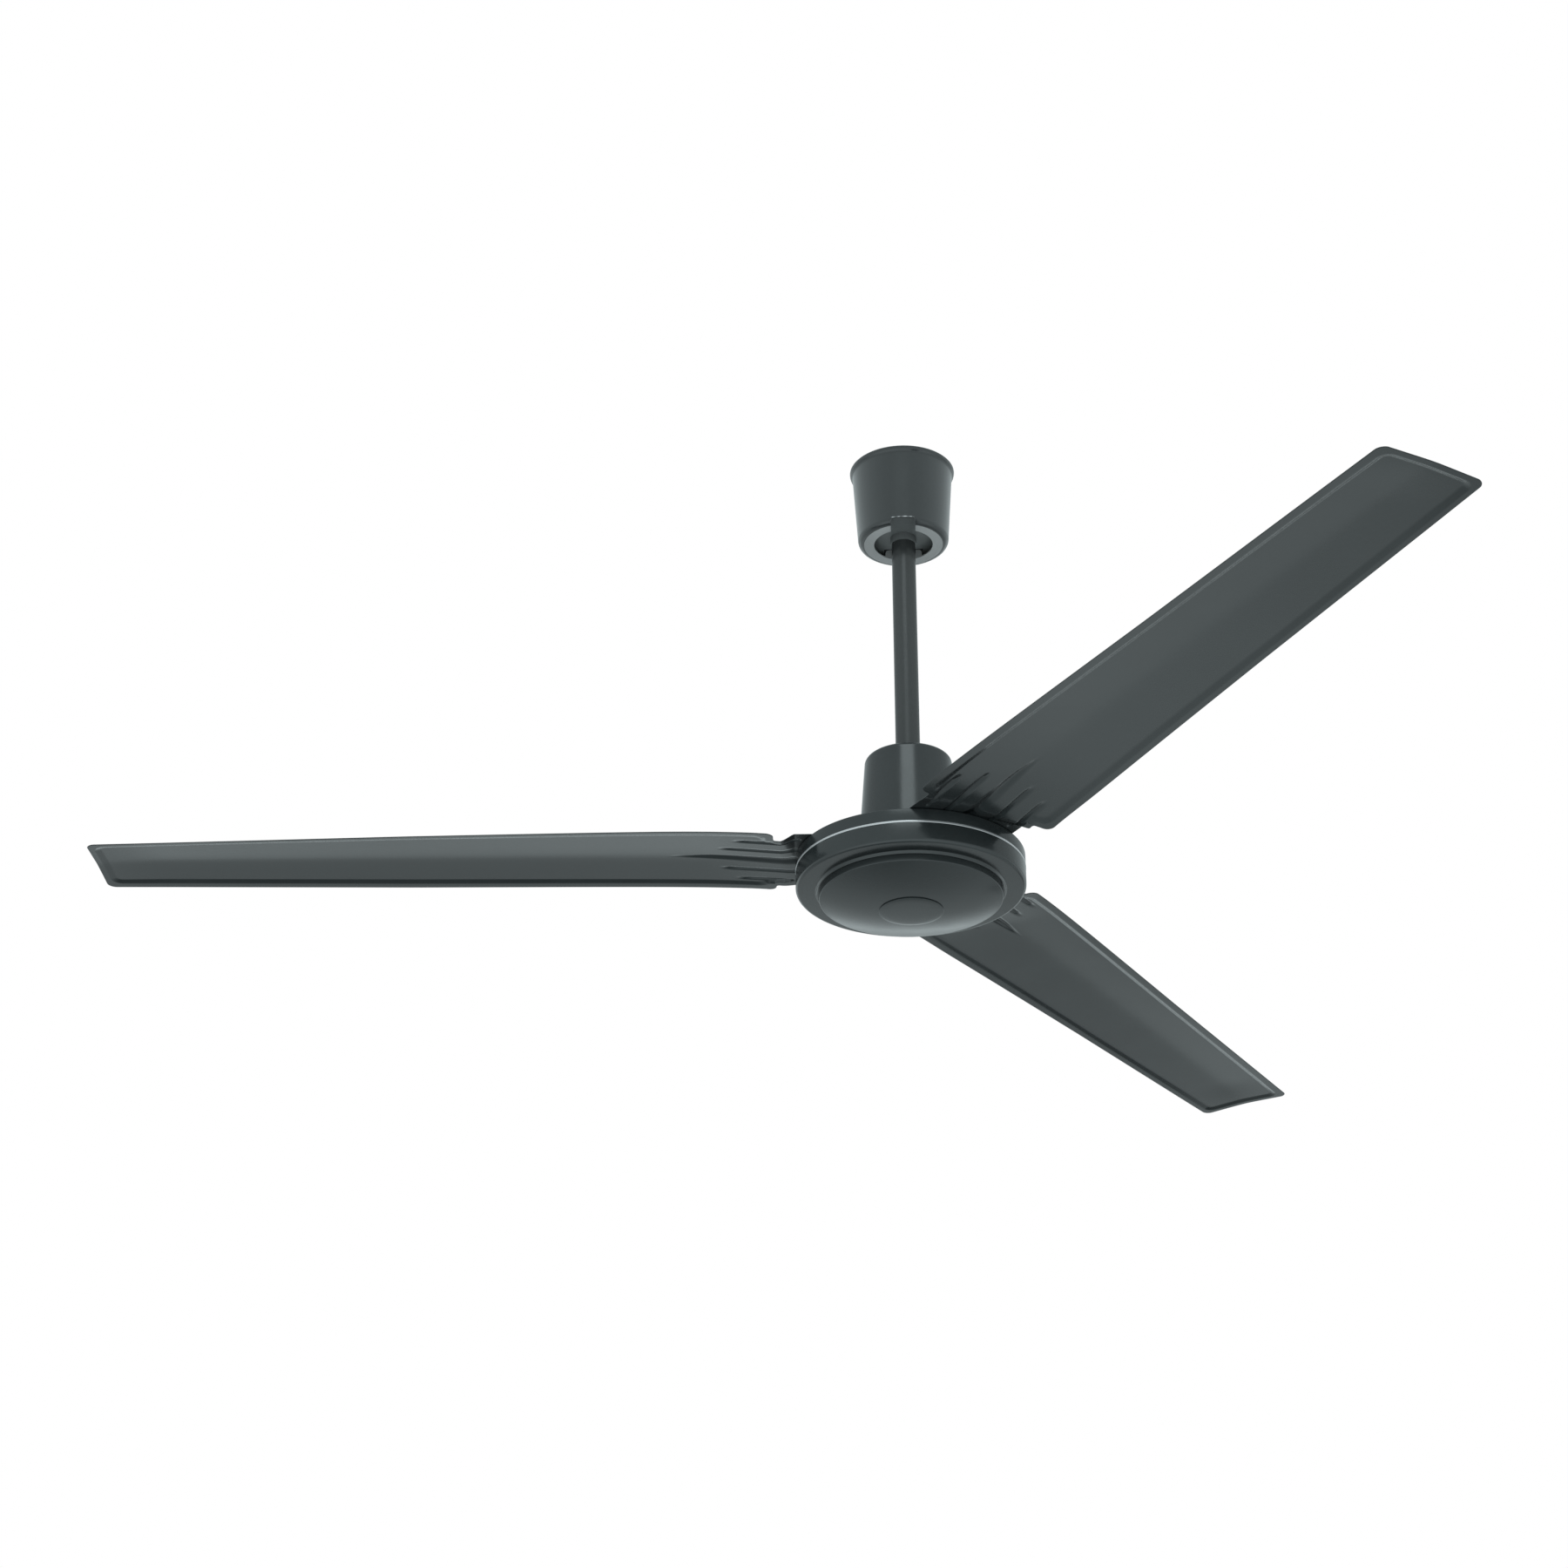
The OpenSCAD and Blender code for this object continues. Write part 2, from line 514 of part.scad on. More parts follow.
module centre_disc() color([0.33, 0.36, 0.36]) translate([0, 0, zb]) rotate_extrude($fn = 96)
    polygon([[4.4, h_flat], [disc_r, h_flat], [disc_r, h_flat - 1.1], [disc_r - 0.5, h_flat - 1.5],
        [18, h_flat - 2.1], [9, h_flat - 2.4], [0, h_flat - 2.5], [0, h_flat - 1.1],
        [4.4, h_flat - 1.1]]);

// ---------------------------------------------------------------- blades
// Local axes of a blade: x along it from the hub axis, y across it, towards the
// lower edge (side a); the other edge is side b.
function edge_a(r) = root_a - taper_a / 2 * (r - 180 + sqrt((r - 180) * (r - 180) + 900));
function edge_b(r) = root_b - taper_b * (r - 112);
function edge(r, s) = s > 0 ? edge_a(r) : edge_b(r);
function corner(w, r) = // outline: pad corner, neck, fillet, shoulder corner, tip corner
    r < pad_in + 9 ? neck_w - 9 + sqrt(max(0, 81 - pow(pad_in + 9 - r, 2))) :
    r <= shoulder - 2.5 ? neck_w :
    r <= shoulder ? neck_w + 2.5 - sqrt(max(0, 6.25 - pow(r - shoulder + 2.5, 2))) :
    r < shoulder + 7 ? w - 7 + sqrt(max(0, 49 - pow(shoulder + 7 - r, 2))) :
    r <= sweep_r - tip_round ? w :
    w - tip_round + sqrt(max(0, pow(tip_round, 2) - pow(r - sweep_r + tip_round, 2)));
function hw(r, s) = corner(edge(r, s), r);
function flange(r, s) = let (t = ease((r - shoulder) / 12))
    4.5 + (s > 0 ? 1.9 - 1.3 * clamp01((r - 300) / 150) : 3.3) * t;
function bevel(r) = 1.6 + 2.8 * ease((r - shoulder) / 12);
function wedge(r) = 7 * (r < 166 ? 1 - 0.0063 * (r - 98) : 0.5716 * clamp01((wedge_end - r) / 44)) + 0.4;
// How far the inner columns of the grid draw together towards the tip
function pull(r, s) = let (q = min(max(r, shoulder + 12), sweep_r - tip_round))
    min(1, (edge(q, s) - flange(q, s) - bevel(q)) / (s > 0 ? 53 : 46));
function columns(r) = let (ka = pull(r, 1), kb = pull(r, -1), a = hw(r, 1), b = hw(r, -1),
        fa = flange(r, 1), fb = flange(r, -1), v = bevel(r), w = wedge(r),
        ga = min(1, a / (fa + v + 42.9 * ka + 0.2)), gb = min(1, b / (fb + v + 43.8 * kb + 0.1)))
    concat([-b, -b + fb * gb, -b + (fb + v) * gb],
        [for (c = [43.8, 41.4, 39, 31, 24.2, 21.8, 19.4, w]) -c * kb * gb], [0],
        [for (c = [w, 18.1, 20.5, 22.9, 30, 38.1, 40.5, 42.9]) c * ka * ga],
        [a - (fa + v) * ga, a - fa * ga, a]);
// Height of the flat border: the blade rises outward and dips at the root
function mid_z(r) = 0.006 * (r - 400) - 4.2 * exp(-(r - 100) / 48);
function slope(r) = tip_slope + root_slope * clamp01(1 - (r - 130) / 300);
function border_z(r, y) = let (m = (hw(max(r, 125), 1) - hw(max(r, 125), -1)) / 2)
    mid_z(r) - slope(r) * (y - m);
// Soft crown over the whole width, lower at the root
function crown(r, y) = let (s = y > 0 ? 1 : -1, q = min(r, sweep_r - tip_round),
        w = neck_w + (edge(q, s) - neck_w) * ease((r - 106) / 30),
        c = (crown_h - 0.9 * clamp01((r - 300) / 350)) * (0.4 + 0.6 * ease((r - 110) / 70))
            * (1 - 0.5 * ease((r - sweep_r + 60) / 55)))
    c * (1 - sqrt(pow((y + 2) / w, 2) + 0.02));
function rib(r, y) = let (s = y > 0 ? 1 : -1, q = abs(y) / max(pull(r, s), 0.2),
        c = s > 0 ? rib_a : rib_b)
    max([for (i = [0, 1]) max(0, 1 - abs(q - c[i]) / rib_w) * clamp01((rib_end[i] - r) / 14),
         max(0, 1 - q / wedge(r)) * clamp01((wedge_end - r) / 40)]);
// 1 on the pressed panel, 0 on the flat border
function panel(r, y) = let (s = y > 0 ? 1 : -1, q = 9,
        ds = hw(r, s) - abs(y) - flange(r, s),
        de = min(sweep_r - r - 5.5, r - shoulder - 6.5 + max(0, 46 - abs(y)) * 6),
        d = q - norm([max(0, q - ds), max(0, q - de)]))
    clamp01(d / bevel(r));
function under(r, y) = let (x = clamp01((r - joggle_0) / (joggle_1 - joggle_0)),
        t = 0.7 * x + 0.3 * ease(x), m = panel(r, y), q = max(r, joggle_0))
    (1 - t) * h_top + t * (border_z(q, y) + crown(q, y) + panel_h * m)
        + rib_h * rib(r, y) * m * ease((r - 92) / 4);
stations = concat([pad_in, 64.6, 66, 68.5, 73, 82, 92, 93.3, 94.7, 96, 98.4, 100.4, 102.4, 104.4,
    106.4, 108.4, 110.3, 112, 113.3, 114.4, 115.2, 115.8, 116, 116.6, 117.8, 119.8, 122.8, 125,
    127.8, 132, 136, 143, 150, 156, 163, 172, 186, 198, 210, 235, 270, 310],
    [for (i = [0 : 6]) 360 + i * (sweep_r - 420) / 7],
    [for (d = [42, 20, 14.5, 12, 9.9, 7.5, 5.5, 3.2, 1.5, 0.5, 0]) sweep_r - d]);
module blade_sheet() {
    grid = [for (r = stations) [for (y = columns(r)) [r, y, under(r, y)]]];
    n = len(grid);
    m = len(grid[0]);
    low = [for (row = grid, p = row) p];
    top = [for (p = low) [p[0], p[1], p[2] + blade_t]];
    k = n * m;
    faces = concat(
        [for (i = [0 : n - 2], j = [0 : m - 2], f = [0, 1]) let (a = i * m + j, b = a + m)
            f == 0 ? [a, a + 1, b + 1] : [a, b + 1, b]],
        [for (i = [0 : n - 2], j = [0 : m - 2], f = [0, 1]) let (a = k + i * m + j, b = a + m)
            f == 0 ? [a, b + 1, a + 1] : [a, b, b + 1]],
        [for (i = [0 : n - 2], s = [0, 1], f = [0, 1]) let (j = s * (m - 1), a = i * m + j, b = a + m)
            s == 0 ? (f == 0 ? [a, b, b + k] : [a, b + k, a + k])
                   : (f == 0 ? [a, b + k, b] : [a, a + k, b + k])],
        [for (j = [0 : m - 2], s = [0, 1], f = [0, 1]) let (a = s * (n - 1) * m + j, b = a + 1)
            s == 0 ? (f == 0 ? [a, b + k, b] : [a, a + k, b + k])
                   : (f == 0 ? [a, b, b + k] : [a, b + k, a + k])]);
    polyhedron(points = concat(low, top), faces = faces, convexity = 8);
}
module blade(i) color(paint) translate([0, 0, zb]) rotate([0, 0, first_blade + i * 120])
    difference() {
        blade_sheet();
        for (p = pad_holes) translate([p[0], p[1], h_top - 2]) cylinder(r = 2.7, h = 6, $fn = 32);
    }
module blade_1() blade(0);
module blade_2() blade(1);
module blade_3() blade(2);
module on_pads() translate([0, 0, zb + h_top + blade_t]) for (a = [0 : 2], p = pad_holes)
    rotate([0, 0, first_blade + a * 120]) translate([p[0], p[1], 0]) children();
module blade_screws() color(steel) on_pads() difference() {
    union() {
        translate([0, 0, -5.9]) cylinder(r = 2.5, h = 7.2, $fn = 32);
        translate([0, 0, 1.2]) rotate_extrude($fn = 32)
            polygon([[0, 0], [4.75, 0], [4.75, 1.7], [3.6, 3], [0, 3.3]]);
    }
    for (a = [0, 90]) rotate([0, 0, a]) translate([0, 0, 4.2]) cube([5, 1.1, 3], center = true);
}
module blade_washers() color(steel) on_pads() tube(5.3, 2.7, 0, 1.2);

ceiling_plate();
ceiling_hook();
hanger_reel();
hanger_shackle();
hanger_bolt();
hanger_nut();
rod_bolts();
rod_nuts();
split_pins();
terminal_block();
supply_leads();
downrod();
canopy();
canopy_ring();
canopy_strap();
canopy_collar();
canopy_grub_screw();
lower_canopy();
lower_canopy_grommet();
shaft_coupler();
coupler_grub_screws();
run_capacitor();
capacitor_bracket();
motor_leads();
motor_shaft();
stator_core();
stator_windings();
upper_bearing_inner();
upper_bearing_balls();
upper_bearing_outer();
lower_bearing_inner();
lower_bearing_balls();
lower_bearing_outer();
rotor_core();
rotor_end_rings();
motor_upper_cover();
motor_lower_cover();
tie_screws();
dome_cap();
cap_screw();
centre_disc();
blade_1();
blade_2();
blade_3();
blade_screws();
blade_washers();
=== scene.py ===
import math

import bpy
import numpy as np
from mathutils import Matrix, Vector


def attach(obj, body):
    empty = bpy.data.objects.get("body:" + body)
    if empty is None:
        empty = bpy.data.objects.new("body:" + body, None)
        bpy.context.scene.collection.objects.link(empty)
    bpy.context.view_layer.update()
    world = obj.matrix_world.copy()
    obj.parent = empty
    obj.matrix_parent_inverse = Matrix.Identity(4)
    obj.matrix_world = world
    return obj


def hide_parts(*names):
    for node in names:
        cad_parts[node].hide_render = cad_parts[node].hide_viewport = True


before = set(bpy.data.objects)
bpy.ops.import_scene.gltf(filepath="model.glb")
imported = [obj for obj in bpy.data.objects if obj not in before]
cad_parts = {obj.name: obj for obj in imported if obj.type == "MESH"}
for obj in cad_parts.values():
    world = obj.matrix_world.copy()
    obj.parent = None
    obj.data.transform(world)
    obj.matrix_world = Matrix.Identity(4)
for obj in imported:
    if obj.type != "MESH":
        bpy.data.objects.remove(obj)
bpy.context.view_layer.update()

MM = 0.001
ZB = -390.5                     # blade plane, mm above the ceiling datum
FIRST = 61.2                    # direction of the first blade, degrees
scene = bpy.context.scene


# ---------------------------------------------------------------- camera
def make_camera():
    cam = bpy.data.cameras.new("camera")
    cam.sensor_fit = "HORIZONTAL"
    cam.sensor_width = 36.0
    cam.lens = 3544.824 / 1800 * 36.0
    cam.shift_x = (900 - 894.897) / 1800
    cam.shift_y = (902.028 - 900) / 1800
    cam.clip_start, cam.clip_end = 0.05, 100.0
    o = bpy.data.objects.new("camera", cam)
    scene.collection.objects.link(o)
    yaw, pitch, roll = (math.radians(a) for a in (-2.6824, 26.7827, -0.0406))
    f = Vector((math.sin(yaw) * math.cos(pitch), math.cos(yaw) * math.cos(pitch), math.sin(pitch)))
    r = Vector((math.cos(yaw), -math.sin(yaw), 0.0))
    u = r.cross(f)
    r2 = r * math.cos(roll) + u * math.sin(roll)
    u2 = u * math.cos(roll) - r * math.sin(roll)
    m = Matrix((r2, u2, -f)).transposed().to_4x4()
    m.translation = Vector((0.0, -2.388518, -1.525836))
    o.matrix_world = m
    scene.camera = o


make_camera()


# ---------------------------------------------------------------- materials
def link(t, a, b):
    t.links.new(a, b)


def base_tree(name):
    m = bpy.data.materials.new(name)
    m.use_nodes = True
    t = m.node_tree
    t.nodes.clear()
    out = t.nodes.new("ShaderNodeOutputMaterial")
    b = t.nodes.new("ShaderNodeBsdfPrincipled")
    link(t, b.outputs[0], out.inputs[0])
    co = t.nodes.new("ShaderNodeTexCoord")
    return m, t, b, co.outputs["Object"]


def noise(t, co, scale, detail=3.0, rough=0.5, stretch=None, distortion=0.0):
    n = t.nodes.new("ShaderNodeTexNoise")
    n.inputs["Scale"].default_value = scale
    n.inputs["Detail"].default_value = detail
    n.inputs["Roughness"].default_value = rough
    n.inputs["Distortion"].default_value = distortion
    if stretch:
        mp = t.nodes.new("ShaderNodeMapping")
        mp.inputs["Scale"].default_value = stretch
        link(t, co, mp.inputs["Vector"])
        co = mp.outputs[0]
    link(t, co, n.inputs["Vector"])
    return n.outputs["Fac"]


def ramp(t, fac, stops):
    r = t.nodes.new("ShaderNodeValToRGB")
    e = r.color_ramp.elements
    while len(e) < len(stops):
        e.new(0.5)
    for k, (p, c) in zip(e, stops):
        k.position = p
        k.color = (*c, 1.0)
    link(t, fac, r.inputs[0])
    return r.outputs[0]


def mix(t, fac, a, b, kind="MIX"):
    n = t.nodes.new("ShaderNodeMix")
    n.data_type = "RGBA"
    n.blend_type = kind
    for key, v in ((0, fac), (6, a), (7, b)):
        if isinstance(v, (int, float)):
            n.inputs[key].default_value = v
        elif isinstance(v, tuple):
            n.inputs[key].default_value = (*v, 1.0)
        else:
            link(t, v, n.inputs[key])
    return n.outputs[2]


def span(t, fac, a, b, lo=0.0, hi=1.0):
    n = t.nodes.new("ShaderNodeMapRange")
    n.inputs["From Min"].default_value = lo
    n.inputs["From Max"].default_value = hi
    n.inputs["To Min"].default_value = a
    n.inputs["To Max"].default_value = b
    link(t, fac, n.inputs[0])
    return n.outputs[0]


def maths(t, op, a, b=None):
    n = t.nodes.new("ShaderNodeMath")
    n.operation = op
    for k, v in ((0, a), (1, b)):
        if v is None:
            continue
        if isinstance(v, (int, float)):
            n.inputs[k].default_value = v
        else:
            link(t, v, n.inputs[k])
    return n.outputs[0]


def bump(t, b, height, dist, strength=1.0):
    n = t.nodes.new("ShaderNodeBump")
    n.inputs["Strength"].default_value = strength
    n.inputs["Distance"].default_value = dist
    link(t, height, n.inputs["Height"])
    link(t, n.outputs[0], b.inputs["Normal"])


def enamel(name, col, rough, peel=0.00003, grain=0.06, spec=0.5, coat=0.0, sheen=0.0):
    """Stoved satin enamel: slight cloudiness, fine orange peel, a few pale dust nibs."""
    m, t, b, co = base_tree(name)
    cloud = noise(t, co, 9.0, 4.0, 0.55)
    fine = noise(t, co, 240.0, 2.0, 0.6)
    dust = noise(t, co, 900.0, 1.0, 0.5)
    a = tuple(c * (1 - grain) for c in col)
    z = tuple(c * (1 + grain) for c in col)
    c1 = ramp(t, cloud, [(0.32, a), (0.68, z)])
    c2 = ramp(t, fine, [(0.3, tuple([1 - grain * 0.7] * 3)), (0.7, tuple([1 + grain * 0.7] * 3))])
    c3 = mix(t, 1.0, c1, c2, "MULTIPLY")
    nib = span(t, dust, 0.0, 0.12, 0.84, 0.92)
    link(t, mix(t, nib, c3, tuple(min(1, c * 2.2 + 0.02) for c in col)), b.inputs["Base Color"])
    smear = noise(t, co, 26.0, 3.0, 0.6)
    link(t, span(t, smear, rough - 0.035, rough + 0.045, 0.3, 0.7), b.inputs["Roughness"])
    b.inputs["Specular IOR Level"].default_value = spec
    if sheen:
        b.inputs["Sheen Weight"].default_value = sheen
        b.inputs["Sheen Roughness"].default_value = 0.5
    if coat:
        b.inputs["Coat Weight"].default_value = coat
        b.inputs["Coat Roughness"].default_value = 0.12
    peel_n = noise(t, co, 420.0, 2.0, 0.5)
    bump(t, b, peel_n, peel, 1.0)
    return m


def metal(name, col, rough, streak=(1, 1, 1), scale=90.0, metallic=1.0, var=0.12, dist=0.00003, spangle=0.0):
    """Plated or bright metal with drawn streaks and uneven polish."""
    m, t, b, co = base_tree(name)
    b.inputs["Metallic"].default_value = metallic
    n1 = noise(t, co, scale, 4.0, 0.6, streak)
    n2 = noise(t, co, 11.0, 3.0, 0.6)
    a = tuple(c * (1 - var) for c in col)
    z = tuple(min(1, c * (1 + var)) for c in col)
    c = ramp(t, n1, [(0.3, a), (0.7, z)])
    if spangle:
        v = t.nodes.new("ShaderNodeTexVoronoi")
        v.inputs["Scale"].default_value = 220.0
        link(t, co, v.inputs["Vector"])
        sp = span(t, v.outputs["Color"], 1 - spangle, 1 + spangle)
        c = mix(t, 1.0, c, sp, "MULTIPLY")
    c = mix(t, span(t, n2, 0.0, 0.35, 0.5, 0.8), c, tuple(k * 0.72 for k in col))
    link(t, c, b.inputs["Base Color"])
    link(t, span(t, n1, rough - 0.07, rough + 0.1, 0.3, 0.7), b.inputs["Roughness"])
    bump(t, b, n1, dist)
    return m


def cast(name, col, rough, metallic=0.9):
    m, t, b, co = base_tree(name)
    b.inputs["Metallic"].default_value = metallic
    n1 = noise(t, co, 350.0, 5.0, 0.7)
    n2 = noise(t, co, 20.0, 3.0, 0.6)
    c = ramp(t, n2, [(0.3, tuple(k * 0.8 for k in col)), (0.7, col)])
    link(t, c, b.inputs["Base Color"])
    link(t, span(t, n1, rough - 0.08, rough + 0.12, 0.3, 0.7), b.inputs["Roughness"])
    bump(t, b, n1, 0.00012)
    return m


def rubber(name, col, rough):
    m, t, b, co = base_tree(name)
    n1 = noise(t, co, 500.0, 4.0, 0.7)
    n2 = noise(t, co, 30.0, 3.0, 0.6)
    bloom = ramp(t, n2, [(0.35, col), (0.75, tuple(c * 1.7 + 0.012 for c in col))])
    link(t, bloom, b.inputs["Base Color"])
    link(t, span(t, n1, rough - 0.08, rough + 0.08, 0.3, 0.7), b.inputs["Roughness"])
    bump(t, b, n1, 0.00008)
    return m


def plastic(name, col, rough, vein=0.05, coat=0.0):
    m, t, b, co = base_tree(name)
    n1 = noise(t, co, 14.0, 3.0, 0.5)
    n2 = noise(t, co, 700.0, 2.0, 0.6)
    c = ramp(t, n1, [(0.3, tuple(k * (1 - vein) for k in col)), (0.7, tuple(min(1, k * (1 + vein)) for k in col))])
    link(t, c, b.inputs["Base Color"])
    link(t, span(t, n2, rough - 0.05, rough + 0.06, 0.3, 0.7), b.inputs["Roughness"])
    if coat:
        b.inputs["Coat Weight"].default_value = coat
    bump(t, b, n2, 0.00004)
    return m


def laminated(name, col):
    """Edge-on stack of 0.5 mm electrical steel sheets."""
    m, t, b, co = base_tree(name)
    b.inputs["Metallic"].default_value = 0.85
    w = t.nodes.new("ShaderNodeTexWave")
    w.wave_type = "BANDS"
    w.bands_direction = "Z"
    w.inputs["Scale"].default_value = 320.0
    w.inputs["Distortion"].default_value = 0.15
    link(t, co, w.inputs["Vector"])
    n = noise(t, co, 45.0, 4.0, 0.65)
    c = mix(t, w.outputs["Fac"], tuple(k * 0.45 for k in col), col)
    rust = span(t, n, 0.0, 0.35, 0.58, 0.75)
    link(t, mix(t, rust, c, (0.16, 0.10, 0.07)), b.inputs["Base Color"])
    link(t, span(t, n, 0.38, 0.55, 0.3, 0.7), b.inputs["Roughness"])
    bump(t, b, w.outputs["Fac"], 0.00006)
    return m


def wound(name, col):
    """Enamelled copper wire laid side by side round each tooth."""
    m, t, b, co = base_tree(name)
    b.inputs["Metallic"].default_value = 0.75
    w = t.nodes.new("ShaderNodeTexWave")
    w.wave_type = "RINGS"
    w.rings_direction = "Z"
    w.inputs["Scale"].default_value = 300.0
    w.inputs["Distortion"].default_value = 0.4
    w.inputs["Detail"].default_value = 1.0
    link(t, co, w.inputs["Vector"])
    n = noise(t, co, 120.0, 3.0, 0.5)
    c = mix(t, w.outputs["Fac"], tuple(k * 0.35 for k in col), col)
    c = mix(t, span(t, n, 0.0, 0.4, 0.4, 0.7), c, tuple(k * 0.6 for k in col))
    link(t, c, b.inputs["Base Color"])
    link(t, span(t, n, 0.22, 0.36, 0.3, 0.7), b.inputs["Roughness"])
    bump(t, b, w.outputs["Fac"], 0.00015)
    return m


BLADE = enamel("blade_enamel", (0.024, 0.029, 0.030), 0.18, grain=0.05)
HUB = enamel("hub_enamel", (0.021, 0.026, 0.027), 0.20, grain=0.05)
COVER = enamel("cover_enamel", (0.024, 0.028, 0.029), 0.18, grain=0.05)
ROD = enamel("rod_enamel", (0.034, 0.036, 0.036), 0.22, grain=0.06, spec=0.5)
# collar and inner strap enamels are several times paler than the other paints: painted light standing in for the light
# that hardly reaches them inside the canopy
COLLAR = enamel("collar_enamel", (0.115, 0.120, 0.120), 0.40, grain=0.06, spec=0.4)
INNER = enamel("inner_enamel", (0.13, 0.137, 0.137), 0.42, grain=0.06, spec=0.4)
CANOPY = enamel("canopy_enamel", (0.018, 0.021, 0.022), 0.20, grain=0.05, sheen=0.45)


def paint_notch_glint(m):
    """Painted highlight: base colour lightened to pale grey along the lip of the notch, by position on the cover,
    standing in for the glint on the rolled lip.
    """
    t = m.node_tree
    b = next(n for n in t.nodes if n.type == "BSDF_PRINCIPLED")
    co = t.nodes.new("ShaderNodeTexCoord").outputs["Object"]
    sep = t.nodes.new("ShaderNodeSeparateXYZ")
    link(t, co, sep.inputs[0])
    x, y, z = sep.outputs["X"], sep.outputs["Y"], sep.outputs["Z"]
    f = maths(t, "MULTIPLY", span(t, y, 1.0, 0.0, -0.034, -0.033), span(t, maths(t, "ABSOLUTE", x), 1.0, 0.0, 0.0098, 0.0108))
    f = maths(t, "MULTIPLY", f, span(t, z, 0.0, 1.0, -0.0745, -0.0741))
    f = maths(t, "MULTIPLY", f, span(t, z, 1.0, 0.0, -0.0735, -0.0730))
    f = maths(t, "MULTIPLY", f, span(t, noise(t, co, 190.0, 2.0, 0.6), 0.12, 0.9, 0.50, 0.66))
    old = b.inputs["Base Color"].links[0].from_socket
    # painted highlight: the masked lip is mixed towards pale grey
    link(t, mix(t, f, old, (0.62, 0.63, 0.63)), b.inputs["Base Color"])


paint_notch_glint(CANOPY)
DISC = enamel("disc_enamel", (0.022, 0.027, 0.028), 0.20, grain=0.05)
RING = metal("ring_zinc", (0.40, 0.40, 0.40), 0.42, scale=60.0, metallic=0.25, var=0.08)
LIP_METAL = metal("turned_lip", (0.56, 0.56, 0.57), 0.36, (1, 1, 12), 60.0, metallic=0.6, var=0.08)
ZINC = metal("zinc_plate", (0.60, 0.62, 0.64), 0.34, scale=55.0, var=0.12, spangle=0.06)
STEEL = metal("bright_steel", (0.62, 0.62, 0.63), 0.28, scale=260.0, var=0.10)
RACE = metal("ground_steel", (0.68, 0.68, 0.70), 0.16, (60, 60, 1), 8.0, var=0.08)
BALLS = metal("polished_balls", (0.75, 0.76, 0.78), 0.07, scale=40.0, var=0.04, dist=0.000005)
IRON = cast("dark_iron", (0.10, 0.10, 0.105), 0.5)
ALLOY = cast("cast_alloy", (0.62, 0.63, 0.65), 0.42)
LAMINATION = laminated("lamination", (0.30, 0.31, 0.33))
COPPER = wound("winding_copper", (0.62, 0.27, 0.11))
RUBBER = rubber("black_rubber", (0.018, 0.018, 0.018), 0.62)
WIRE_R = plastic("wire_red", (0.42, 0.03, 0.02), 0.38)
WIRE_B = plastic("wire_blue", (0.02, 0.05, 0.22), 0.38)
WHITE = plastic("terminal_plastic", (0.66, 0.64, 0.56), 0.40, coat=0.1)
CAPACITOR = plastic("capacitor_case", (0.70, 0.70, 0.66), 0.30, vein=0.03, coat=0.2)

CAD_MATERIALS = {
    "ceiling_plate": ZINC, "ceiling_hook": ZINC, "hanger_reel": RUBBER, "hanger_shackle": ZINC,
    "hanger_bolt": STEEL, "hanger_nut": STEEL, "rod_bolts": STEEL, "rod_nuts": STEEL,
    "split_pins": STEEL, "terminal_block": WHITE, "supply_leads": WIRE_R, "downrod": ROD,
    "canopy_ring": RING, "canopy_strap": INNER, "canopy_collar": COLLAR, "canopy_grub_screw": STEEL,
    "lower_canopy_grommet": RUBBER, "shaft_coupler": IRON, "coupler_grub_screws": STEEL,
    "run_capacitor": CAPACITOR, "capacitor_bracket": ZINC, "motor_leads": WIRE_B,
    "motor_shaft": STEEL, "stator_core": LAMINATION, "stator_windings": COPPER,
    "upper_bearing_inner": RACE, "upper_bearing_balls": BALLS, "upper_bearing_outer": RACE,
    "lower_bearing_inner": RACE, "lower_bearing_balls": BALLS, "lower_bearing_outer": RACE,
    "rotor_core": LAMINATION, "rotor_end_rings": ALLOY, "tie_screws": STEEL, "cap_screw": STEEL,
    "blade_screws": STEEL, "blade_washers": STEEL, "canopy": CANOPY, "lower_canopy": COVER,
    "motor_upper_cover": HUB, "motor_lower_cover": HUB, "dome_cap": HUB, "centre_disc": DISC,
    "blade_1": BLADE, "blade_2": BLADE, "blade_3": BLADE,
}
for name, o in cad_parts.items():
    o.data.materials.clear()
    o.data.materials.append(CAD_MATERIALS[name])
    o.data.polygons.foreach_set("use_smooth", [True] * len(o.data.polygons))
    o.data.set_sharp_from_angle(angle=math.radians(28))


# ---------------------------------------------------------------- mesh helpers
def mesh_object(name, verts, faces, mat, body, replaces=(), sharp=35.0):
    me = bpy.data.meshes.new(name)
    me.from_pydata([tuple(v) for v in np.asarray(verts, float) * MM], [], faces)
    me.validate()
    me.update()
    me.materials.append(mat)
    me.polygons.foreach_set("use_smooth", [True] * len(me.polygons))
    me.set_sharp_from_angle(angle=math.radians(sharp))
    o = bpy.data.objects.new(name, me)
    scene.collection.objects.link(o)
    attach(o, body)
    if replaces:
        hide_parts(*replaces)
    return o


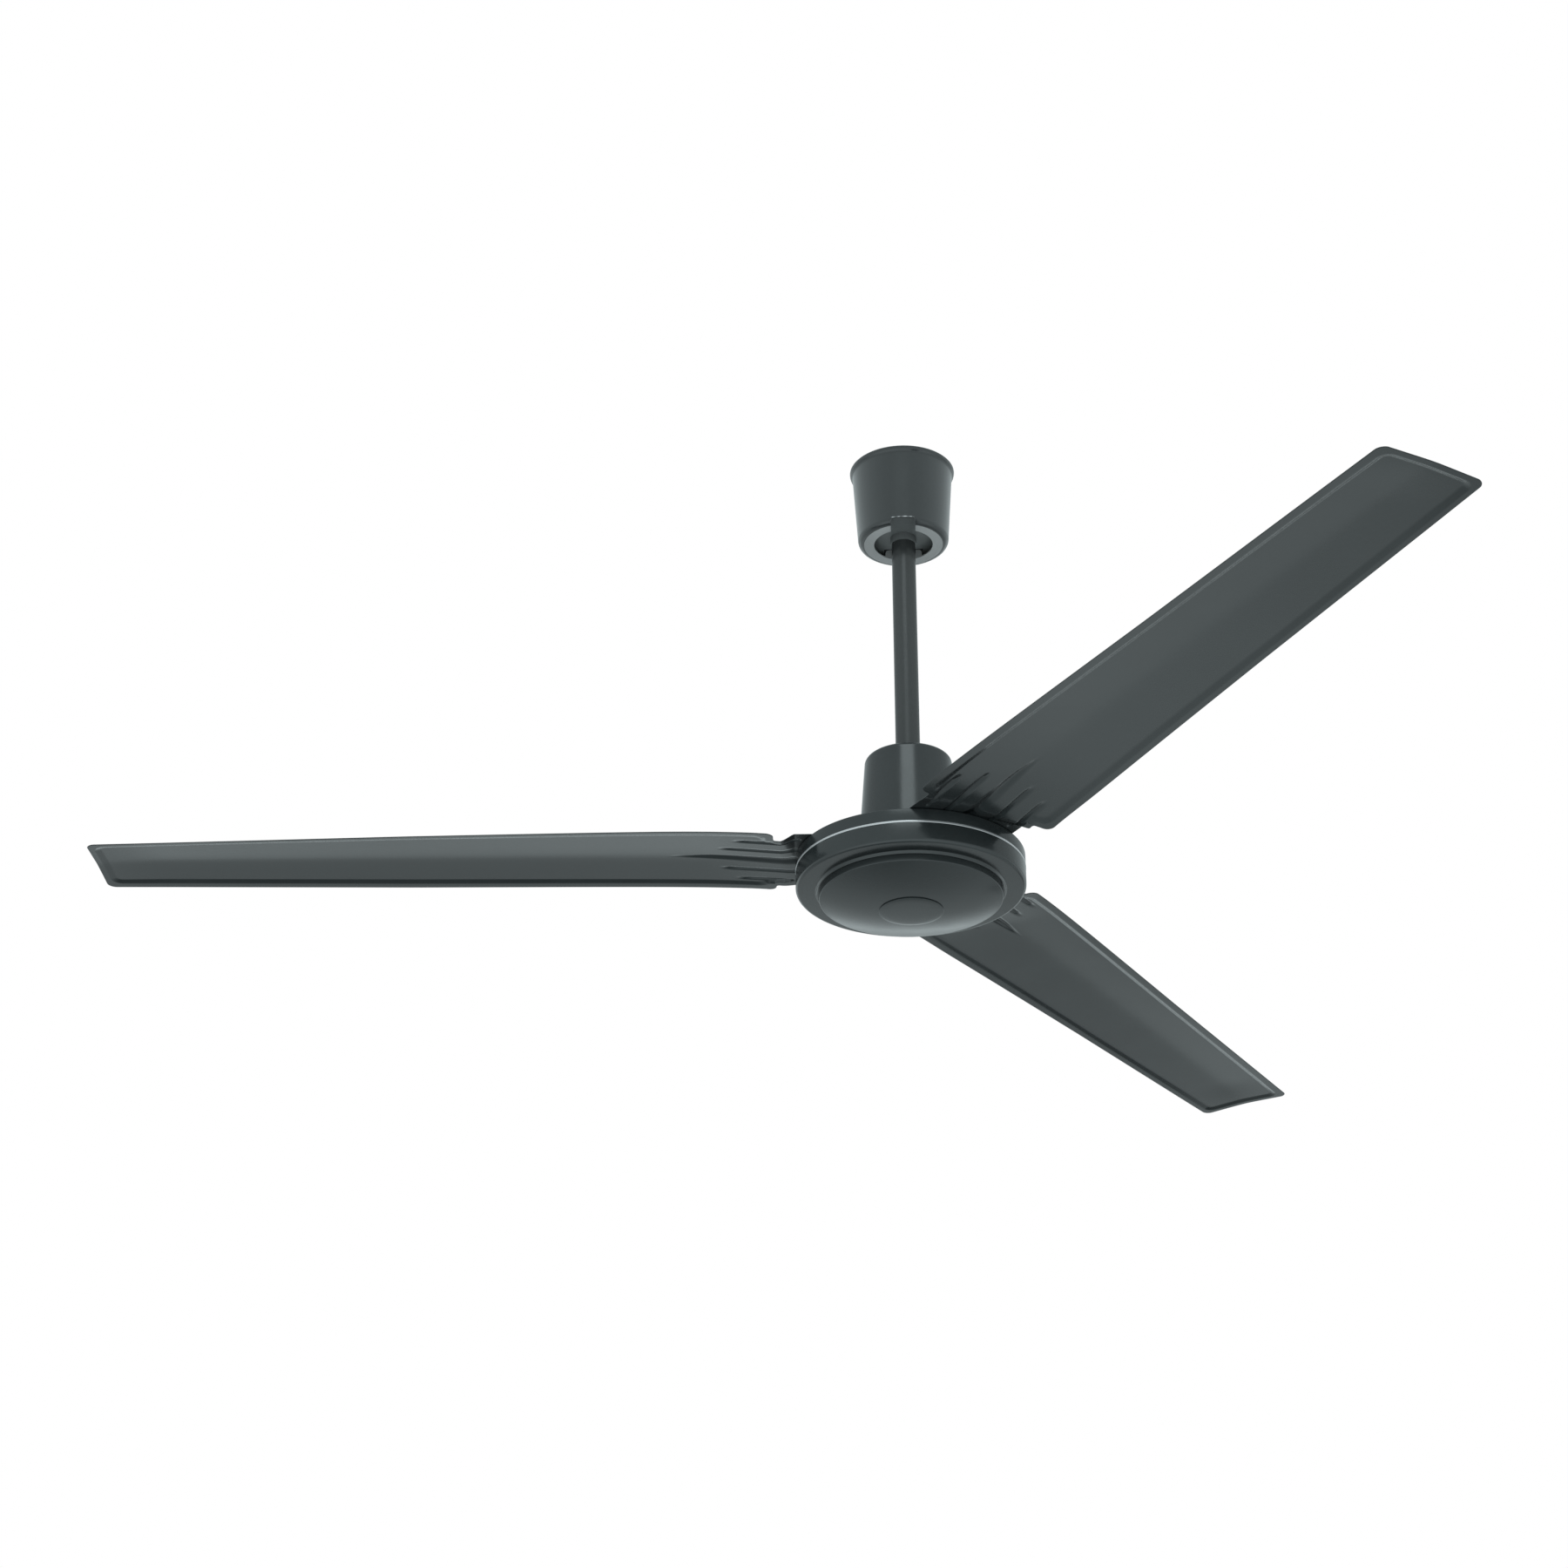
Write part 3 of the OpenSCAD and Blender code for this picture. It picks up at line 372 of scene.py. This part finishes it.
def rounded(points, n=6):
    """A closed outline of (r, z) or (r, z, radius): each corner with a radius becomes an arc."""
    pts = [tuple(p) + ((0.0,) if len(p) == 2 else ()) for p in points]
    out = []
    k = len(pts)
    for i, (x, y, rad) in enumerate(pts):
        p = np.array((x, y))
        a = np.array(pts[i - 1][:2]) - p
        b = np.array(pts[(i + 1) % k][:2]) - p
        la, lb = np.linalg.norm(a), np.linalg.norm(b)
        if rad <= 0 or la < 1e-9 or lb < 1e-9:
            out.append((x, y))
            continue
        a, b = a / la, b / lb
        half = math.acos(max(-1, min(1, float(a @ b)))) / 2
        if half > math.radians(89):
            out.append((x, y))
            continue
        cut = min(rad / math.tan(half), la * 0.49, lb * 0.49)
        rr = cut * math.tan(half)
        c = p + (a + b) / np.linalg.norm(a + b) * rr / math.sin(half)
        s, e = p + a * cut - c, p + b * cut - c
        a0 = math.atan2(s[1], s[0])
        turn = math.atan2(e[1], e[0]) - a0
        turn = (turn + math.pi) % (2 * math.pi) - math.pi
        for j in range(n + 1):
            w = a0 + turn * j / n
            out.append((c[0] + rr * math.cos(w), c[1] + rr * math.sin(w)))
    return out


def lathe(outline, seg, dz=0.0):
    """Verts and faces of a closed outline turned round Z. Points on the axis become poles."""
    verts, ring = [], []
    for r, z in outline:
        if r < 1e-6:
            ring.append([len(verts)])
            verts.append((0, 0, z + dz))
        else:
            ring.append(list(range(len(verts), len(verts) + seg)))
            for i in range(seg):
                a = 2 * math.pi * i / seg
                verts.append((r * math.cos(a), r * math.sin(a), z + dz))
    faces = []
    n = len(outline)
    for i in range(n):
        p, q = ring[i], ring[(i + 1) % n]
        if len(p) == 1 and len(q) == 1:
            continue
        for j in range(seg):
            k = (j + 1) % seg
            if len(p) == 1:
                faces.append((p[0], q[j], q[k]))
            elif len(q) == 1:
                faces.append((p[j], q[0], p[k]))
            else:
                faces.append((p[j], q[j], q[k], p[k]))
    return verts, faces


def area2(outline):
    return sum(a[0] * b[1] - b[0] * a[1] for a, b in zip(outline, outline[1:] + outline[:1]))


def turned(name, outline, seg, mat, body, replaces, dz=0.0, sharp=35.0):
    if area2(outline) > 0:
        outline = outline[::-1]
    v, f = lathe(outline, seg, dz)
    return mesh_object(name, v, f, mat, body, replaces, sharp)


def bore(o, holes, sharp=35.0, level=False):
    """Round holes cut out of a piece: each is (x, y, bottom, top, radius) in mm. Level faces can be kept flat-shaded."""
    verts, faces = [], []
    for x, y, z0, z1, r in holes:
        k, n = len(verts), 32
        for z in (z0, z1):
            verts += [(x + r * math.cos(2 * math.pi * i / n), y + r * math.sin(2 * math.pi * i / n), z) for i in range(n)]
        faces += [(k + i, k + (i + 1) % n, k + n + (i + 1) % n, k + n + i) for i in range(n)]
        faces += [tuple(range(k + n - 1, k - 1, -1)), tuple(range(k + n, k + 2 * n))]
    me = bpy.data.meshes.new("bores")
    me.from_pydata([tuple(c * MM for c in v) for v in verts], [], faces)
    me.update()
    c = bpy.data.objects.new("bores", me)
    scene.collection.objects.link(c)
    m = o.modifiers.new("bores", "BOOLEAN")
    m.operation, m.solver, m.object = "DIFFERENCE", "EXACT", c
    dg = bpy.context.evaluated_depsgraph_get()
    new = bpy.data.meshes.new_from_object(o.evaluated_get(dg), depsgraph=dg)
    o.modifiers.remove(m)
    old, o.data = o.data, new
    bpy.data.objects.remove(c)
    bpy.data.meshes.remove(me)
    bpy.data.meshes.remove(old)
    new.polygons.foreach_set("use_smooth", [not (level and abs(q.normal.z) > 0.9999) for q in new.polygons])
    new.set_sharp_from_angle(angle=math.radians(sharp))
    return o


def spot(r, angle, side=0.0):
    """A point at radius r and sideways offset, in the frame of a direction in degrees."""
    a = math.radians(angle)
    return r * math.cos(a) - side * math.sin(a), r * math.sin(a) + side * math.cos(a)


# ---------------------------------------------------------------- blades
R_IN, SWEEP, TIP_ROUND = 64.0, 700.0, 7.5
NECK, SHOULDER = 50.2, 115.8
J0, J1 = 98.4, 110.3
H_TOP = -1.23
BLADE_T, PANEL, CROWN, RIB_H, WEDGE_END = 0.7, 1.7, 4.5, 2.2, 210.0
RIBS_A = ((20.5, 163.0), (40.5, 150.0))
RIBS_B = ((21.8, 163.0), (41.4, 150.0))


def clamp01(x):
    return np.clip(x, 0.0, 1.0)


def ease(x):
    t = clamp01(x)
    return t * t * (3 - 2 * t)


def edge_a(r):
    return 66.9 - 0.02335 * (r - 180 + np.sqrt((r - 180) ** 2 + 900))


def edge_b(r):
    return 59.9 - 0.021 * (r - 112)


def edge(r, side):
    return edge_a(r) if side > 0 else edge_b(r)


def corner(w, r):
    return np.select(
        [r < R_IN + 9, r <= SHOULDER - 2.5, r <= SHOULDER, r < SHOULDER + 7, r <= SWEEP - TIP_ROUND],
        [NECK - 9 + np.sqrt(np.maximum(0, 81 - (R_IN + 9 - r) ** 2)),
         NECK + 0 * r,
         NECK + 2.5 - np.sqrt(np.maximum(0, 6.25 - (r - SHOULDER + 2.5) ** 2)),
         w - 7 + np.sqrt(np.maximum(0, 49 - (SHOULDER + 7 - r) ** 2)),
         w],
        w - TIP_ROUND + np.sqrt(np.maximum(0, TIP_ROUND ** 2 - (r - SWEEP + TIP_ROUND) ** 2)))


def hw(r, side):
    return corner(edge(r, side), r)


def flange(r, side):
    t = ease((r - SHOULDER) / 12)
    return 4.5 + t * (1.9 - 1.3 * clamp01((r - 300) / 150) if side > 0 else 3.3)


def bevel(r):
    return 1.6 + 2.8 * ease((r - SHOULDER) / 12)


def wedge(r):
    return 7 * np.where(r < 166, 1 - 0.0063 * (r - 98), 0.5716 * clamp01((WEDGE_END - r) / 44)) + 0.4


def pull(r, side):
    q = np.clip(r, SHOULDER + 12, SWEEP - TIP_ROUND)
    return np.minimum(1, (edge(q, side) - flange(q, side) - bevel(q)) / (53 if side > 0 else 46))


def mid_z(r):
    return 0.006 * (r - 400) - 4.2 * np.exp(-(r - 100) / 48)


def slope(r):
    return 0.028 + 0.030 * clamp01(1 - (r - 130) / 300)


def border_z(r, y):
    q = np.maximum(r, 125)
    m = (hw(q, 1) - hw(q, -1)) / 2
    return mid_z(r) - slope(r) * (y - m)


def crown(r, y):
    """Soft roof over the whole width, lower at the root."""
    q = np.minimum(r, SWEEP - TIP_ROUND)
    w = NECK + (np.where(y > 0, edge_a(q), edge_b(q)) - NECK) * ease((r - 106) / 30)
    c = (CROWN - 0.9 * clamp01((r - 300) / 350)) * (0.4 + 0.6 * ease((r - 110) / 70)) * (1 - 0.5 * ease((r - SWEEP + 60) / 55))
    return c * (1 - np.sqrt(((y + 2) / w) ** 2 + 0.02))


def soft_ridge(x):
    """1 at 0, 0 beyond 1, with a rounded crest and rounded feet."""
    t = clamp01(1 - np.abs(x))
    return t * t * (3 - 2 * t) * 0.55 + t * 0.45


def rib(r, y):
    best = np.zeros_like(y)
    for side, ribs in ((1, RIBS_A), (-1, RIBS_B)):
        q = np.abs(y) / np.maximum(pull(r, side), 0.2)
        for c, end in ribs:
            h = soft_ridge((q - c) / 2.9) * ease((end + 2 - r) / 17)
            best = np.maximum(best, np.where(y * side > 0, h, 0))
        h = soft_ridge(q / (wedge(r) + 0.5)) * ease((WEDGE_END + 1 - r) / 44)
        best = np.maximum(best, np.where(y * side >= 0, h, 0))
    return best


def panel(r, y):
    """1 on the pressed panel, 0 on the flat border, with rounded corners."""
    far = np.where(y > 0, hw(r, 1) - flange(r, 1), hw(r, -1) - flange(r, -1))
    ds = far - np.abs(y)
    de = np.minimum(SWEEP - r - 5.5, r - SHOULDER - 6.5 + np.maximum(0, 46 - np.abs(y)) * 6)
    q = 9.0
    d = q - np.hypot(np.maximum(0, q - ds), np.maximum(0, q - de))
    x = clamp01((d + 0.2) / (bevel(r) + 0.4))
    return 0.75 * x + 0.25 * ease(x)


def under(r, y):
    x = clamp01((r - J0) / (J1 - J0))
    t = 0.7 * x + 0.3 * ease(x)
    m = panel(r, y)
    q = np.maximum(r, J0)
    return ((1 - t) * H_TOP + t * (border_z(q, y) + crown(q, y) + PANEL * m)
            + RIB_H * rib(r, y) * m * ease((r - 92) / 4))


def blade_grid():
    rs = [R_IN, 64.15, 64.6, 65.4, 66.6, 68.2, 70.4, 73.0, 76.0, 79.5, 83.0, 86.5, 90.0]
    rs += list(np.arange(91.6, 115.5, 0.7)) + [115.5, 115.8, 115.85, 116.0, 116.2, 116.5, 116.9, 117.4, 118.0]
    rs += list(np.arange(118.6, 126.0, 0.8)) + list(np.arange(126.4, 170.0, 1.7)) + list(np.arange(171.0, 216.0, 2.4))
    rs += list(np.arange(219.0, 675.0, 8.0)) + [679.0, 682.0, 684.5] + list(np.arange(686.0, 695.5, 0.55))
    rs += [696.2, 697.0, 697.8, 698.5, 699.0, 699.4, 699.75, 699.93, 700.0]
    rs = np.array(sorted(set(round(float(x), 3) for x in rs)))
    # columns: fixed fractions, thick where the border, the bevels and the ribs run
    rows = []
    cols = {1: np.concatenate([np.linspace(0, 8.0, 9), [10.5, 13.5, 16.2], np.linspace(17.4, 23.6, 9),
                               [25.5, 29.0, 33.0, 36.2], np.linspace(37.4, 43.4, 9)]),
            -1: np.concatenate([np.linspace(0, 8.0, 9), [10.5, 14.0, 17.2], np.linspace(18.7, 24.9, 9),
                                [26.5, 30.0, 34.0, 37.0], np.linspace(38.4, 44.2, 9)])}
    for r in rs:
        half = []
        for s in (-1, 1):
            ca = cols[s]
            k = float(pull(r, s))
            w, f, v = float(hw(r, s)), float(flange(r, s)), float(bevel(r))
            g = min(1.0, w / (f + v + ca[-1] * k + 0.25))
            inner = ca * k * g
            edge_in = w - (f + v + 0.2) * g
            mid = np.linspace(inner[-1], edge_in, 5)[1:]
            bev = np.linspace(edge_in, w - (f - 0.3) * g, 11)[1:]
            bor = w - (f - 0.3) * g + (f - 0.3) * g * np.array([0.2, 0.45, 0.7, 0.88, 0.96, 0.99, 1.0])
            half.append(np.concatenate([inner, mid, bev, bor]))
        rows.append(np.concatenate([-half[0][::-1], half[1][1:]]))
    return rs, np.array(rows)


def build_blade(i, node):
    rs, ys = blade_grid()
    n, m = ys.shape
    R = np.repeat(rs[:, None], m, 1)
    low = under(R, ys)
    # the sheet's cut edge is slightly rolled over: the last columns lift a little on both faces
    top = low + BLADE_T
    dist_a = np.minimum(np.abs(ys - ys[:, -1:]), np.abs(ys - ys[:, :1]))
    dist_r = np.minimum(SWEEP - R, R - R_IN)
    edge = clamp01(1 - np.minimum(dist_a, dist_r) / 0.3) ** 2
    low = low + 0.16 * edge
    top = top - 0.16 * edge
    a = math.radians(FIRST + 120 * i)
    ca, sa = math.cos(a), math.sin(a)
    X, Y = R * ca - ys * sa, R * sa + ys * ca
    v_low = np.stack([X, Y, low + ZB], -1).reshape(-1, 3)
    v_top = np.stack([X, Y, top + ZB], -1).reshape(-1, 3)
    idx = np.arange(n * m).reshape(n, m)
    k = n * m
    faces = []
    hole = np.zeros((n, m), bool)
    A, B, C, D = idx[:-1, :-1].ravel(), idx[:-1, 1:].ravel(), idx[1:, 1:].ravel(), idx[1:, :-1].ravel()
    faces += [(int(p), int(q), int(s), int(t)) for p, q, s, t in zip(A, B, C, D)]
    faces += [(int(p) + k, int(t) + k, int(s) + k, int(q) + k) for p, q, s, t in zip(A, B, C, D)]
    for col, flip in ((0, False), (m - 1, True)):
        for r in range(n - 1):
            p, q = int(idx[r, col]), int(idx[r + 1, col])
            faces.append((p, q, q + k, p + k) if not flip else (p, p + k, q + k, q))
    for row, flip in ((0, True), (n - 1, False)):
        for c in range(m - 1):
            p, q = int(idx[row, c]), int(idx[row, c + 1])
            faces.append((p, q, q + k, p + k) if not flip else (p, p + k, q + k, q))
    verts = np.concatenate([v_low, v_top])
    return mesh_object(f"pressed_blade_{i + 1}", verts, faces, BLADE, "rotor", [node], 50.0)


for i, node in enumerate(("blade_1", "blade_2", "blade_3")):
    build_blade(i, node)


# ---------------------------------------------------------------- motor housing
HUB_R, SPLIT, FACE = 98.2, -12.2, -31.6
LIP = 1.8                       # height of the bare machined lip of the lower half
TIES = [spot(93.8, FIRST + 60 + g * 120 + s * 15) for g in range(3) for s in (-1, 1)]
PADS = [spot(r, FIRST + a * 120, side) for a in range(3) for r, side in ((86, 33), (86, -33), (74, 0))]
top_half = turned("housing_top", rounded([
    (14, 10, 0.2), (14, 12, 0.5), (24, 12, 1.0), (24, H_TOP, 1.5), (HUB_R, H_TOP, 1.1),
    (HUB_R, SPLIT, 0.5), (90, SPLIT), (90, H_TOP - 2.2, 1.0), (20, H_TOP - 2.2, 1.0), (20, 10, 0.2)]),
    256, HUB, "rotor", ["motor_upper_cover"], ZB)
bore(top_half, [(x, y, ZB + H_TOP - 2.4, ZB + 4, 3.3) for x, y in TIES] + [(x, y, ZB - 7.5, ZB + 0.5, 2.6) for x, y in PADS], level=True)
bore(top_half, [(x, y, ZB - 20, ZB + H_TOP - 2.0, 2.1) for x, y in TIES], level=True)
low_half = turned("housing_bottom", rounded([
    (90, SPLIT), (96, SPLIT), (96, SPLIT - LIP), (HUB_R, SPLIT - LIP, 0.3), (HUB_R, FACE, 3.2), (81.4, FACE, 0.9),
    (80.3, -33.5, 0.5), (79.9, -33.9), (21.5, -33.9, 1.0), (21.5, -45.5, 0.9), (2, -45.5), (2, -43),
    (8, -43), (8, -41.6), (11.1, -41.6), (11.1, -41), (17.5, -41), (17.5, -30), (21.5, -30), (21.5, -31.5), (76, -31.5, 2.0),
    (84, FACE + 3.4), (87, FACE + 6), (87, -22), (90, -22)]),
    256, HUB, "rotor", ["motor_lower_cover"], ZB)
bore(low_half, [(x, y, ZB - 26, ZB - 6, 2.05) for x, y in TIES])
turned("housing_lip", rounded([
    (96, SPLIT), (HUB_R + 0.2, SPLIT, 0.35), (HUB_R + 0.2, SPLIT - LIP, 0.35), (96, SPLIT - LIP)]),
    256, LIP_METAL, "rotor", ["motor_lower_cover"], ZB)


# ---------------------------------------------------------------- bottom cap and disc
def cap_outline():
    R0, D, RIM, FLAT = 78.4, 27.5, -39.5, -50.0
    low = [(R0, -33.9, 0.0), (R0, RIM, 1.6)]
    n = 40
    for i in range(1, n + 1):
        t = i / n
        r = R0 - 0.3 + (D + 0.3 - R0) * t
        low.append((r, FLAT + (RIM - FLAT) * (r * r - D * D) / ((R0 - 0.3) ** 2 - D * D), 0.0))
    low += [(D - 0.2, FLAT, 0.0), (2.2, FLAT, 0.0)]
    out = rounded(low + [(2.2, FLAT + 1.2, 0.0)] + [(r - 1.0 if r > 30 else r, z + 1.2, 0.0) for r, z, _ in low[::-1][1:-1]]
                  + [(R0 - 1.2, -33.9, 0.0)])
    return out


turned("bottom_cap", cap_outline(), 256, HUB, "rotor", ["dome_cap"], ZB, 40)
turned("cap_disc", rounded([
    (4.4, -50), (27.5, -50, 0.15), (27.5, -51.0, 0.4), (25, -51.45, 6.0), (22, -51.8, 6.0), (18, -52.1, 8.0), (12, -52.37, 12.0),
    (6, -52.47, 8.0), (0, -52.5), (0, -51.1), (4.4, -51.1)], 8),
    192, DISC, "rotor", ["centre_disc"], ZB, 40)


# ---------------------------------------------------------------- lower cover
def cup_outline():
    mouth, top, r0, r1, hole, t = 7.0, 93.5, 43.9, 37.5, 13.3, 0.9
    return rounded([
        (r0 + 0.15, mouth, 0.4), (r0, mouth + 1.2, 1.5), (r1 + 0.1, top - 0.2, 5.2), (hole, top + 0.4, 0.2),
        (hole, top - 0.5, 0.2), (r1 - t, top - 1.1, 4.3), (r0 - t, mouth + 1.2, 1.5), (r0 - t + 0.15, mouth, 0.4)], 10)


turned("lower_cover", cup_outline(), 224, COVER, "bottom_cover", ["lower_canopy"], ZB, 40)


# ---------------------------------------------------------------- light, floor, backdrop
def make_world():
    """A plain studio: soft far side, even near side, one soft box high in front."""
    w = bpy.data.worlds.new("studio")
    scene.world = w
    w.use_nodes = True
    t = w.node_tree
    t.nodes.clear()
    out = t.nodes.new("ShaderNodeOutputWorld")
    tc = t.nodes.new("ShaderNodeTexCoord")
    sep = t.nodes.new("ShaderNodeSeparateXYZ")
    link(t, tc.outputs["Generated"], sep.inputs[0])
    dx, dy, dz = sep.outputs["X"], sep.outputs["Y"], sep.outputs["Z"]
    up = span(t, dz, 0.0, 1.0, -1.0, 1.0)
    far = ramp(t, up, [(v, (c,) * 3) for v, c in FAR])
    near = ramp(t, up, [(v, (c,) * 3) for v, c in NEAR])
    col = mix(t, span(t, dy, 0.0, 1.0, -0.35, 0.35), near, far)
    box = maths(t, "MULTIPLY", span(t, dz, 0.0, 1.0, BOX[0], BOX[0] + 0.05), span(t, dz, 1.0, 0.0, BOX[1], BOX[1] + 0.1))
    box = maths(t, "MULTIPLY", box, span(t, dx, 0.0, 1.0, BOX[2], BOX[2] + 0.08))
    box = maths(t, "MULTIPLY", box, span(t, dx, 1.0, 0.0, BOX[3], BOX[3] + 0.08))
    box = maths(t, "MULTIPLY", box, span(t, dy, 1.0, 0.0, -0.1, 0.0))
    col = mix(t, box, col, (BOX[4],) * 3)
    col = mix(t, 1.0, col, TINT, "MULTIPLY")
    lit = t.nodes.new("ShaderNodeBackground")
    link(t, col, lit.inputs[0])
    lit.inputs[1].default_value = WORLD
    plain = t.nodes.new("ShaderNodeBackground")
    plain.inputs[0].default_value = (1, 1, 1, 1)
    plain.inputs[1].default_value = 1.0
    path = t.nodes.new("ShaderNodeLightPath")
    mx = t.nodes.new("ShaderNodeMixShader")
    link(t, path.outputs["Is Camera Ray"], mx.inputs[0])
    link(t, lit.outputs[0], mx.inputs[1])
    link(t, plain.outputs[0], mx.inputs[2])
    link(t, mx.outputs[0], out.inputs[0])


# radiance against (1 + sine of elevation) / 2
FAR = [(0.0, 0.10), (0.03, 0.14), (0.065, 0.30), (0.10, 0.50), (0.146, 0.56), (0.19, 0.66), (0.24, 0.70), (0.273, 0.64), (0.33, 0.66),
       (0.376, 0.76), (0.42, 0.90), (0.45, 1.18), (0.485, 1.32), (0.505, 1.05), (0.53, 0.74), (0.57, 0.62), (0.67, 0.64), (0.85, 0.55), (1.0, 0.5)]
NEAR = [(0.0, 0.8), (0.05, 1.5), (0.15, 1.6), (0.28, 1.2), (0.42, 0.95), (0.60, 0.92), (0.8, 0.8), (1.0, 0.5)]
BOX = (0.505, 0.84, -0.30, 0.17, 3.2)
TINT = (0.88, 1.0, 1.02)
WORLD = 1.0
make_world()


def make_card(name, centre, size, turn, level, opacity, soft=0.5):
    """A soft-edged studio card that only shows in reflections: level is its radiance."""
    m = bpy.data.materials.new(name)
    m.use_nodes = True
    t = m.node_tree
    t.nodes.clear()
    out = t.nodes.new("ShaderNodeOutputMaterial")
    co = t.nodes.new("ShaderNodeTexCoord")
    sep = t.nodes.new("ShaderNodeSeparateXYZ")
    link(t, co.outputs["Object"], sep.inputs[0])
    fades = [span(t, maths(t, "ABSOLUTE", sep.outputs[axis]), 1.0, 0.0, half * (1 - soft), half)
             for axis, half in (("X", size[0] / 2), ("Y", size[1] / 2))]
    fac = maths(t, "MULTIPLY", maths(t, "MULTIPLY", fades[0], fades[1]), opacity)
    e = t.nodes.new("ShaderNodeEmission")
    e.inputs[0].default_value = (*[c * level for c in TINT], 1.0)
    tr = t.nodes.new("ShaderNodeBsdfTransparent")
    mx = t.nodes.new("ShaderNodeMixShader")
    link(t, fac, mx.inputs[0])
    link(t, tr.outputs[0], mx.inputs[1])
    link(t, e.outputs[0], mx.inputs[2])
    link(t, mx.outputs[0], out.inputs[0])
    me = bpy.data.meshes.new(name)
    x, y = size[0] / 2, size[1] / 2
    me.from_pydata([(-x, -y, 0), (x, -y, 0), (x, y, 0), (-x, y, 0)], [], [(0, 1, 2, 3)])
    me.materials.append(m)
    o = bpy.data.objects.new(name, me)
    o.location = centre
    o.rotation_euler = (0, 0, math.radians(turn))
    scene.collection.objects.link(o)
    o.visible_camera = False
    o.visible_diffuse = False
    o.visible_shadow = False


make_card("bright_card", (0.235, -0.215, -0.50), (0.62, 0.28), -58.8, 1.0, 0.55, 0.3)
make_card("dark_card", (0.445, 0.776, -0.75), (0.84, 0.15), 61.2, 0.06, 0.85, 0.4)
make_card("grey_card", (0.26, 1.06, -0.75), (0.80, 0.30), 61.2, 0.35, 0.35, 0.4)


def make_floor():
    m, t, b, co = base_tree("floor_paint")
    n = noise(t, co, 3.0, 4.0, 0.5)
    link(t, ramp(t, n, [(0.3, (.78, .78, .77)), (0.7, (.84, .84, .83))]), b.inputs["Base Color"])
    b.inputs["Roughness"].default_value = 0.9
    me = bpy.data.meshes.new("floor")
    s, z = 14.0, -4.6
    me.from_pydata([(-s, -s, z), (s, -s, z), (s, s, z), (-s, s, z)], [], [(0, 1, 2, 3)])
    me.materials.append(m)
    o = bpy.data.objects.new("floor", me)
    scene.collection.objects.link(o)
    o.visible_diffuse = False
    o.visible_glossy = False


make_floor()

scene.view_settings.view_transform = "Standard"
scene.view_settings.look = "None"
scene.view_settings.exposure = 0.0
scene.view_settings.gamma = 1.0
